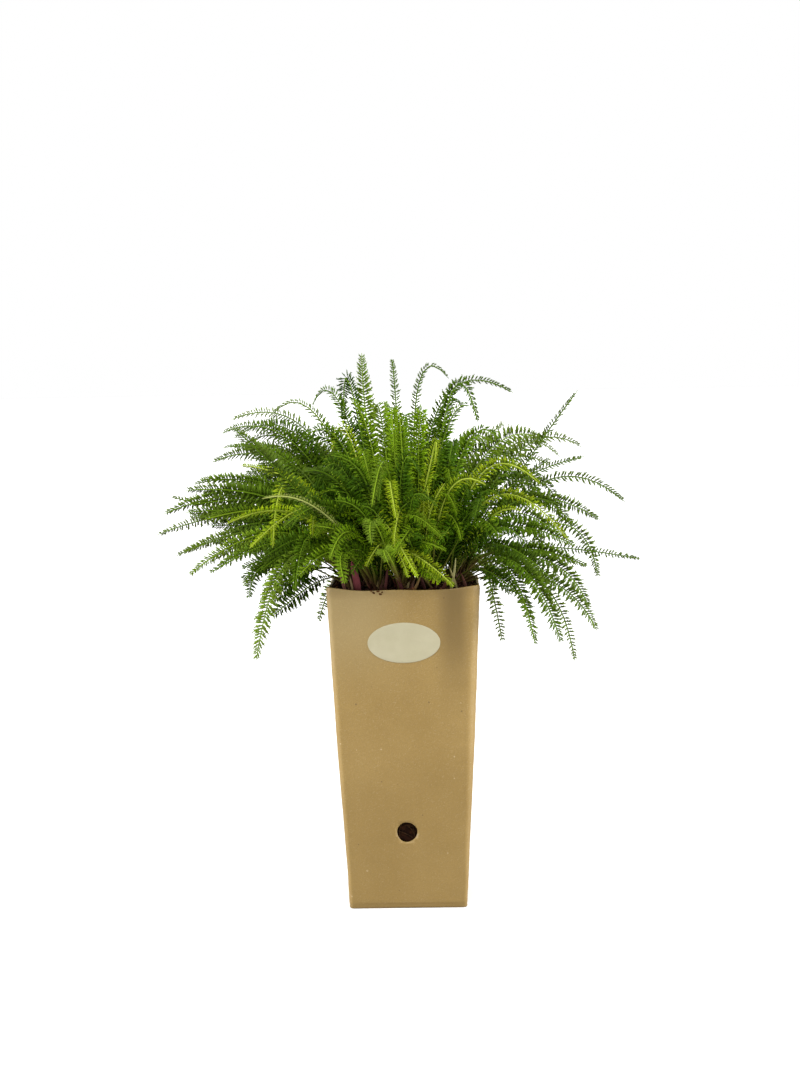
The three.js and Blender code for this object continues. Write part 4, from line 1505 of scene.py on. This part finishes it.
@dataclass
class LeafSpray:
    """All the leaves of one shoot as one piece, with its crown's sheaths and bare stalk ends.

    A leaf between others has its least and greatest share of their length and its stray in millimetres,
    and a skirt the spans of its leaves' reach, rise and arch. hoods holds how far every other pair of
    leaflets lifts, rib_half the half widths of a leaf's stalk and of its rib's end in millimetres, and
    section the grooved section of both.
    """

    plan: ShootPlan
    rule: LeafRule
    index: int
    fill_tones: tuple[Tone, ...] = (Tone.FRESH, Tone.GREEN, Tone.DEEP, Tone.DEEP)
    young_share: float = 0.14
    between_inner: tuple[float, float, float] = (0.42, 0.84, 13.0)
    between_front: tuple[float, float, float] = (0.42, 0.74, 6.0)
    between_outer: tuple[float, float, float] = (0.66, 0.99, 7.5)
    skirt_inner: tuple[tuple[float, float], ...] = ((14, 68), (26, 84), (36, 84))
    skirt_outer: tuple[tuple[float, float], ...] = ((48, 82), (10, 56), (22, 60))
    skirt_lean: tuple[float, float] = (0.45, 0.8)
    hoods: tuple[float, float] = (0.0, 0.5)
    sheaths: int = 12
    hairs: int = 8
    rib_half: tuple[float, float] = (0.82, 0.42)
    section: tuple[tuple[float, float], ...] = (
        (0.95, 0.25), (0.38, 0.62), (-0.38, 0.62), (-0.95, 0.25), (-0.6, -0.75), (0.6, -0.75),
    )
    purple: Colour = (74, 30, 34)
    stalk_pale: Colour = (112, 112, 44)
    dull: Colour = (120, 138, 54)
    dull_tip: Colour = (140, 154, 78)
    hair: Colour = (214, 224, 190)
    sheath_pale: Colour = (150, 140, 96)
    sheath_tints: tuple[Colour, ...] = (
        (96, 38, 52), (70, 34, 34), (118, 50, 78), (140, 112, 72), (60, 36, 26), (150, 128, 92),
    )
    stump_foot: Colour = (60, 30, 26)

    def __post_init__(self) -> None:
        """Starts the shoot's own draws and an empty pad."""
        self.rng, self.pad = np.random.default_rng(700 + self.index), MeshPad()

    def leaves(self) -> list[tuple[LeafLine, Tone]]:
        """The frame's leaves, then shorter ones between them and low ones at the rim."""
        laid = self.rule.lay(self.plan, self.index)
        return laid + self.between(laid) + self.skirt()

    def between(self, laid: list[tuple[LeafLine, Tone]]) -> list[tuple[LeafLine, Tone]]:
        """Lays shorter leaves between the frame's.

        Args:
            laid: the frame's leaves.

        Returns:
            The new leaves.
        """
        rng = self.rng
        inner, leaves = self.plan.is_inner, []
        outer = self.between_front if self.plan.is_front else self.between_outer
        *reach, loose = self.between_inner if inner else outer
        for _ in range(self.plan.fill[0]):
            a = int(rng.integers(0, len(laid) - 1))
            (first, tone), (second, _) = laid[a], laid[a + 1]
            share, size = rng.uniform(0.2, 0.8), rng.uniform(*reach)
            start = mix(first.start, second.start, share)
            side = unit(mix(first.side, second.side, share))
            stray = rng.normal(0, loose, 3) * size
            knee = start + (mix(first.knee, second.knee, share) - start) * (size + 0.04) + stray
            tip = start + (mix(first.tip, second.tip, share) - start) * size
            line = LeafLine(
                start, knee, tip, side,
                roll=0.85 * self.rule.open_turn(start, knee, tip, side) + rng.normal(0, 0.3),
                leaflet=mix(first.leaflet, second.leaflet, share) * 0.92,
                blade_start=rng.uniform(0.36, 0.5) if self.plan.is_beside else 0.22,
                sway=rng.uniform(1.5, 4.5) * (1.6 if inner else 1.0),
                phase=rng.uniform(0.0, 6.28),
            )
            if rng.random() >= 0.5 or tone is Tone.DRY:
                tone = self.fill_tones[rng.integers(0, len(self.fill_tones))]
            leaves.append((line, tone))
        return leaves

    def skirt(self) -> list[tuple[LeafLine, Tone]]:
        """Lays low leaves at the rim, or at the foot of the inner shoots, by the frame's own rule.

        Returns:
            The new leaves.
        """
        rng = self.rng
        inner, front, leaves = self.plan.is_inner, self.plan.is_front, []
        draw = self.rule.draws(9000 + self.index)
        spread = 16.0 * (2.4 if inner else 1.2)
        shift = 34.0 if front else 14.0
        spans = self.skirt_inner if inner else self.skirt_outer
        for _ in range(self.plan.fill[1]):
            azimuth = self.plan.azimuth + rng.uniform(-spread, spread)
            sizes = [rng.uniform(*span) for span in (*spans, self.skirt_lean, (-shift, shift))]
            line = self.rule.line(self.plan, (azimuth, *sizes), 0.3 + 0.5 * rng.random(), draw)
            young = front and rng.random() < self.young_share
            tone = Tone.YOUNG if young else self.fill_tones[rng.integers(0, len(self.fill_tones))]
            sway = rng.uniform(1.5, 4.0)
            line = replace(line, leaflet=line.leaflet * 0.94, blade_start=0.2, sway=sway)
            leaves.append((line, tone))
        return leaves

    def stalk(self, leaf: Leaf) -> None:
        """Adds a leaf's stalk and rib: a grooved tube, purple and wider where it leaves the crown.

        Args:
            leaf: the leaf.
        """
        rng = self.rng
        above = np.linspace(0.14, 1.0, 6 + int(leaf.line.length() / 11))
        share = np.concatenate([np.linspace(0.0, 0.14, 5)[:-1], above])
        path, _, across, face = leaf.line.at(share)
        half = mix(*self.rib_half, 1.0 - np.exp(-share / 0.22)) * (1.0 + 0.7 * np.exp(-share / 0.05))
        half[-1] *= 0.4
        path = path - face * (half * 0.5)[:, None]
        rib = linear(*leaf.feather.rib)
        tints = mix(linear(*self.stalk_pale), rib, smooth(0.15, 0.5, share)[:, None])
        blush = (1.0 - smooth(0.05, 0.17 + 0.14 * rng.random(), share))[:, None] * rng.uniform(0.6, 1.0)
        tints = mix(tints, linear(*self.purple), blush)
        self.pad.tube(path, across, face, half, tints, leaf.spots(share), np.array(self.section))

    def blade(self, leaf: Leaf) -> None:
        """Adds a leaf's leaflets, each a fleshy axis with small pointed lobes about it.

        Args:
            leaf: the leaf.
        """
        rng = self.rng
        line, feather = leaf.line, leaf.feather
        span = self.rule.blade_end - line.blade_start
        # The blade's outline, and how closely its leaflets stand along it.
        fine = np.linspace(-0.13, 0.992 / self.rule.blade_end, 300)
        outline = np.minimum(1.0, 0.45 + fine / 0.3) * (1.0 - 0.62 * np.abs(fine) ** 4)
        outline = np.clip(outline, 0.16, 1.0)
        pitch = feather.pitch * (0.6 + 0.4 * outline)
        crowd = np.cumsum(line.length() * span * (fine[1] - fine[0]) / pitch)
        count = max(int(crowd[-1]), 8)
        blade = np.repeat(np.interp((np.arange(count) + 0.5) / count * crowd[-1], crowd, fine), 2)
        n = len(blade)
        sign = np.tile([1.0, -1.0], count)
        where = np.clip(line.blade_start + span * (blade + rng.uniform(-0.25, 0.25, n) / count), 0.03, 0.995)
        # Pairs on the rib, every other one a little shorter and lifted.
        place, along, across, face = line.at(where)
        size = line.leaflet * np.interp(blade, fine, outline) * feather.reach * rng.uniform(0.84, 1.12, n)
        sweep = feather.sweep + rng.normal(0, 0.1) + rng.normal(0, 0.09, n) + 0.7 * smooth(0.75, 1.0, blade)
        tier = np.repeat(np.arange(count) % 2, 2)
        lift = feather.lift + np.where(tier, *reversed(self.hoods)) * rng.uniform(0.7, 1.2, n)
        size = size * np.where(tier, 0.86, 1.0)
        aim = unit(across * sign[:, None] + along * sweep[:, None] + face * lift[:, None])
        run = aim * (1.1 * size)[:, None]
        root = place + across * (sign * 0.2)[:, None]
        bend = along * (0.2 * size)[:, None] - face * (rng.uniform(0.0, 0.28, n) * size)[:, None]

        def spine(t: np.ndarray) -> np.ndarray:
            """Places on the leaflets' axes."""
            return root + run * t + bend * t * t

        def spot(points: np.ndarray) -> np.ndarray:
            """Where points of the leaflets lie on the bake sheet."""
            ahead, off = (((points - place) * axis).sum(-1) for axis in (along, across))
            return leaf.spots(np.clip(where + ahead / line.length(), 0, 1), np.clip(off / 13.0, -0.96, 0.96))

        # Each leaf and leaflet has a tone of its own, duller far out, and painted shade darkens it towards
        # the foot, as in the crowded middle of the plant.
        tone = np.ones((n, 4))
        tone[:, :3] = np.clip(rng.normal(1.0, 0.13), 0.75, 1.3) * rng.uniform(0.88, 1.12, (n, 1))
        # Painted shade: leaflets near the crown are darkened, on top of the older tissue's own darker green.
        tone[:, :3] *= mix(0.52, 1.0, smooth(0.12, 0.55, where))[:, None] * rng.uniform(0.96, 1.04, (n, 3))
        far = (feather.fade * smooth(50.0, 128.0, np.linalg.norm(place[:, :2], axis=1)))[:, None]
        base = mix(linear(*feather.tint), linear(*self.dull), far) * tone
        edge = mix(linear(*feather.tip), linear(*self.dull_tip), far) * tone
        rib = linear(*feather.rib) * tone
        e2 = unit(along - aim * (along * aim).sum(-1, keepdims=True))
        e3 = np.cross(aim, e2)
        plump = np.clip(size / 5.5, 0.5, 1.1)[:, None]
        finish = spine(1.0)
        scale = (mix(rib, base, 0.7), base, mix(base, edge, 0.7))
        flesh = e2 * feather.flesh * plump
        self.pad.slivers(paddle(feather.belly), root, finish, flesh, scale, (spot(root), spot(finish)))
        # Pointed lobes, to either side of each axis in turn.
        for lobe in range(feather.lobes):
            t = 0.2 + 0.8 * (lobe + 0.5 + rng.uniform(-0.3, 0.3, n)) / feather.lobes
            out = 1.0 if lobe % 2 else -1.0
            foot = spine(t[:, None]) + 0.42 * out * flesh
            spread = np.radians(rng.normal(48.0, 9.0, n))[:, None]
            about = rng.normal(0.0, feather.flare, n)[:, None]
            point = aim * np.cos(spread) + (e2 * out * np.cos(about) + e3 * np.sin(about)) * np.sin(spread)
            reach = feather.lobe * (0.75 + 0.3 * np.sin(np.pi * np.clip(t, 0, 1))) * rng.uniform(0.8, 1.2, n)
            tip = foot + point * reach[:, None] * plump
            flat = unit(np.cross(point, e3 + 0.35 * e2 * rng.normal(size=(n, 1))))
            wide = flat * feather.girth * plump * rng.uniform(0.85, 1.15, n)[:, None]
            self.pad.slivers(TOOTH, foot, tip, wide, (base, edge), (spot(foot), spot(tip)))

    def down(self, leaf: Leaf) -> None:
        """Adds the fine pale hairs of the stalk.

        Args:
            leaf: the leaf.
        """
        rng = self.rng
        n = self.hairs
        share = rng.uniform(0.03, 0.8, n)
        place, along, across, face = leaf.line.at(share)
        turn = rng.uniform(0, TURN, n)[:, None]
        out = across * np.cos(turn) + face * np.sin(turn)
        foot = place + out * 0.45 - face * 0.4
        tip = foot + out * rng.uniform(0.5, 1.1, (n, 1)) + along * rng.uniform(0.1, 0.7, (n, 1))
        tint = np.tile(linear(*self.hair), (n, 1))
        spot = leaf.spots(share, -0.6)
        self.pad.slivers(HAIR, foot, tip, unit(np.cross(out, along)) * 0.045, (tint,), (spot, spot + 0.002))

    def crown_sheaths(self) -> None:
        """Adds the crown: purple-brown sheaths and old stalk ends that stand in the peat."""
        rng = self.rng
        crown = self.rule.crown(self.plan)
        t = np.linspace(0.0, 1.0, 8)
        girth = np.array([1.0, 1.15, 1.2, 1.1, 0.95, 0.75, 0.5, 0.12])
        for k in range(self.sheaths):
            tall, wide = ((7.0, 15.0), (0.7, 1.5)) if k % 4 else ((13.0, 22.0), (0.6, 0.9))
            angle = rng.uniform(0, TURN)
            out = np.array([math.cos(angle), math.sin(angle), 0.0])
            base = crown + out * rng.uniform(0.5, 4.2)
            base[2] = self.rule.soil_top - 4.0
            rise = np.array([0.0, 0.0, rng.uniform(*tall)])
            bend = out * rng.uniform(0.5, 3.5) + np.append(rng.normal(0, 1.2, 2), 0.0)
            path = base + rise * t[:, None] + bend * (t ** 2)[:, None]
            half = rng.uniform(*wide) * girth
            colour = linear(*self.sheath_tints[rng.integers(0, len(self.sheath_tints))])
            tints = mix(colour, linear(*self.sheath_pale), (0.45 * t ** 2)[:, None])
            spots = np.column_stack([0.02 + 0.9 * t, np.full(8, 0.985 - 0.003 * (k % 4))])
            self.pad.pipe(path, out + 0.01, half, tints, spots, circle(5))

    def stumps(self) -> None:
        """Adds the bare stalk ends that show over the rim."""
        t = np.linspace(0.0, 1.0, 12)
        girth = np.array([1.15, 1.12, 1.08, 1.02, 1.0, 0.98, 0.94, 0.9, 0.82, 0.68, 0.45, 0.12])
        for k, stump in enumerate(STUMPS.get(self.plan.name, ())):
            path = mix(np.array(stump.start), np.array(stump.end), t[:, None])
            path[:, :2] += np.array([0.54, -0.3]) * stump.half * np.sin(math.pi * t)[:, None]
            tint = linear(*stump.tint)
            tints = mix(linear(*self.stump_foot), tint, smooth(0.1, 0.5, t)[:, None])
            tints = mix(tints, tint * 1.15, t[:, None] ** 3)
            spots = np.column_stack([0.02 + 0.9 * t, np.full(12, 0.992 - 0.002 * k)])
            self.pad.pipe(path, np.array([0.0, 1.0, 0.0]), stump.half * girth, tints, spots, circle(8, 0.8))

    def build(self, material: Material) -> Piece:
        """Builds the spray.

        Args:
            material: the leaf finish.

        Returns:
            The piece.
        """
        leaves = self.leaves()
        height = 0.96 / len(leaves)
        for place, (line, tone) in enumerate(leaves):
            band = (0.005 + height * place, 0.005 + height * (place + 0.94))
            leaf = Leaf(line, FEATHERS[tone], band)
            self.stalk(leaf)
            self.blade(leaf)
            self.down(leaf)
        self.crown_sheaths()
        self.stumps()
        return self.pad.make(f"{self.plan.name}_leaves", material)


# ---------------------------------------------------------------- studio


@dataclass(frozen=True)
class Light:
    """One broad light.

    azimuth is the side that it shines from, with 0 for +X, elevation its height and softness its width,
    all in degrees.
    """

    name: str
    azimuth: float
    elevation: float
    strength: float
    softness: float


@dataclass
class Studio:
    """The camera, the soft light and the white ground, with angles in degrees and sizes in metres.

    ambient is the world's light on the plant, bounce how white the ground is to it, ground and glow
    how white the ground is and shines for the camera.
    """

    yaw: float = 1.0
    distance: float = 1.4
    eye: float = 0.311
    pitch: float = 3.712
    pan: float = 0.085
    roll: float = -0.93
    lens: float = 78.78
    sensor: float = 36.0
    ambient: float = 0.36
    bounce: float = 0.52
    ground: float = 0.92
    glow: float = 0.3
    ground_radius: float = 60.0
    lights: tuple[Light, ...] = (
        Light("key", -98.0, 50.0, 1.72, 45.0), Light("left_fill", -174.0, 14.0, 2.9, 30.0),
        Light("right_fill", -6.0, 14.0, 3.1, 30.0), Light("back_fill", 90.0, 45.0, 0.9, 60.0),
    )

    def set_camera(self) -> None:
        """Sets the camera in front of the pot, a little above the rim."""
        yaw, pitch, roll = math.radians(self.yaw), math.radians(self.pitch), math.radians(self.roll)
        turn = yaw + math.radians(self.pan)
        level = math.cos(pitch)
        ahead = Vector((-math.sin(turn) * level, math.cos(turn) * level, -math.sin(pitch)))
        right = ahead.cross(Vector((0, 0, 1))).normalized()
        up = right.cross(ahead)
        x = right * math.cos(roll) + up * math.sin(roll)
        y = up * math.cos(roll) - right * math.sin(roll)
        data = bpy.data.cameras.new("studio_camera")
        data.lens = self.lens
        data.sensor_width = self.sensor
        data.clip_start = 0.05
        data.clip_end = 200.0
        place = Vector((self.distance * math.sin(yaw), -self.distance * math.cos(yaw), self.eye))
        camera = show("studio_camera", data)
        camera.matrix_world = Matrix.Translation(place) @ Matrix((x, y, -ahead)).transposed().to_4x4()
        bpy.context.scene.camera = camera

    def set_lights(self) -> None:
        """Sets the white surround and the lights."""
        for light in self.lights:
            data = bpy.data.lights.new(light.name, "SUN")
            data.energy = light.strength
            data.angle = math.radians(light.softness)
            a, e = math.radians(light.azimuth), math.radians(light.elevation)
            source = Vector((math.cos(a) * math.cos(e), math.sin(a) * math.cos(e), math.sin(e)))
            show(light.name, data).rotation_euler = source.to_track_quat("Z", "Y").to_euler()
        scene = bpy.context.scene
        scene.view_settings.view_transform = "Standard"
        scene.world = bpy.data.worlds.new("white_surround")
        scene.world.use_nodes = True
        w = Wiring(scene.world.node_tree)
        white = (1.0, 1.0, 1.0, 1.0)
        cast, seen = (w.add("Background", Color=white, Strength=light) for light in (self.ambient, 1.0))
        w.by_ray("OutputWorld", cast, seen)

    def lay_ground(self) -> None:
        """Lays the white ground."""
        mesh = bpy.data.meshes.new("white_ground")
        rim = np.pad(circle(64) * self.ground_radius, ((0, 0), (0, 1)))
        mesh.from_pydata(rim.tolist(), [], [list(range(len(rim)))])
        material = bpy.data.materials.new("white_ground")
        material.use_nodes = True
        w = Wiring(material.node_tree)
        matt = {"Roughness": 0.95, "Specular_IOR_Level": 0.0}
        dim, white = (
            w.add("BsdfPrincipled", Base_Color=(level, level, level, 1.0), **matt)
            for level in (self.bounce, self.ground)
        )
        w.feed(white.inputs["Emission Color"], (1.0, 1.0, 1.0, 1.0))
        w.feed(white.inputs["Emission Strength"], self.glow)
        w.by_ray("OutputMaterial", dim, white)
        mesh.materials.append(material)
        floor = show("white_ground", mesh)


# ---------------------------------------------------------------- the whole plant


def main() -> None:
    """Loads the frame and builds the plant on it."""
    logging.basicConfig(level=logging.INFO, format="%(name)s: %(message)s")
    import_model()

    studio = Studio()
    studio.set_camera()
    studio.set_lights()
    studio.lay_ground()

    effects = Effects()
    peat = TintedFinish(
        "peat", (0.75, 0.98), 0.7, 0.3 * MM, 260.0, 2400.0, gloss=0.08, darkening=0.5, shade=(24, 13, 10)
    )
    green = TintedFinish("leaf_green_skin", (0.5, 0.72), 0.3, 0.05 * MM, 70.0, gloss=0.05, darkening=0.26)
    young = TintedFinish("leaf_young_skin", (0.48, 0.7), 0.3, 0.05 * MM, 70.0, gloss=0.08, darkening=0.2)
    paper = PaperFinish("cream_paper", (0.45, 0.6), 0.2, 0.03 * MM, 90.0, 2600.0, coat=0.08)
    skins = {"outer": ("leaf_green", green.make(effects)), "inner": ("leaf_young", young.make(effects))}

    pot, rule = SquarePot(), LeafRule()
    crowns = np.array([rule.crown(plan) for plan in SHOOTS])
    settle(pot.build(effects), "pot")
    settle(RootBall(pot, crowns).build(peat.make(effects)), "soil")
    settle(BlankLabel(pot).build(paper.make(effects)), "label")
    for index, plan in enumerate(SHOOTS):
        slot, skin_material = skins[plan.ring]
        settle(LeafSpray(plan, rule, index).build(skin_material), plan.name)


if __name__ == "__main__":
    main()
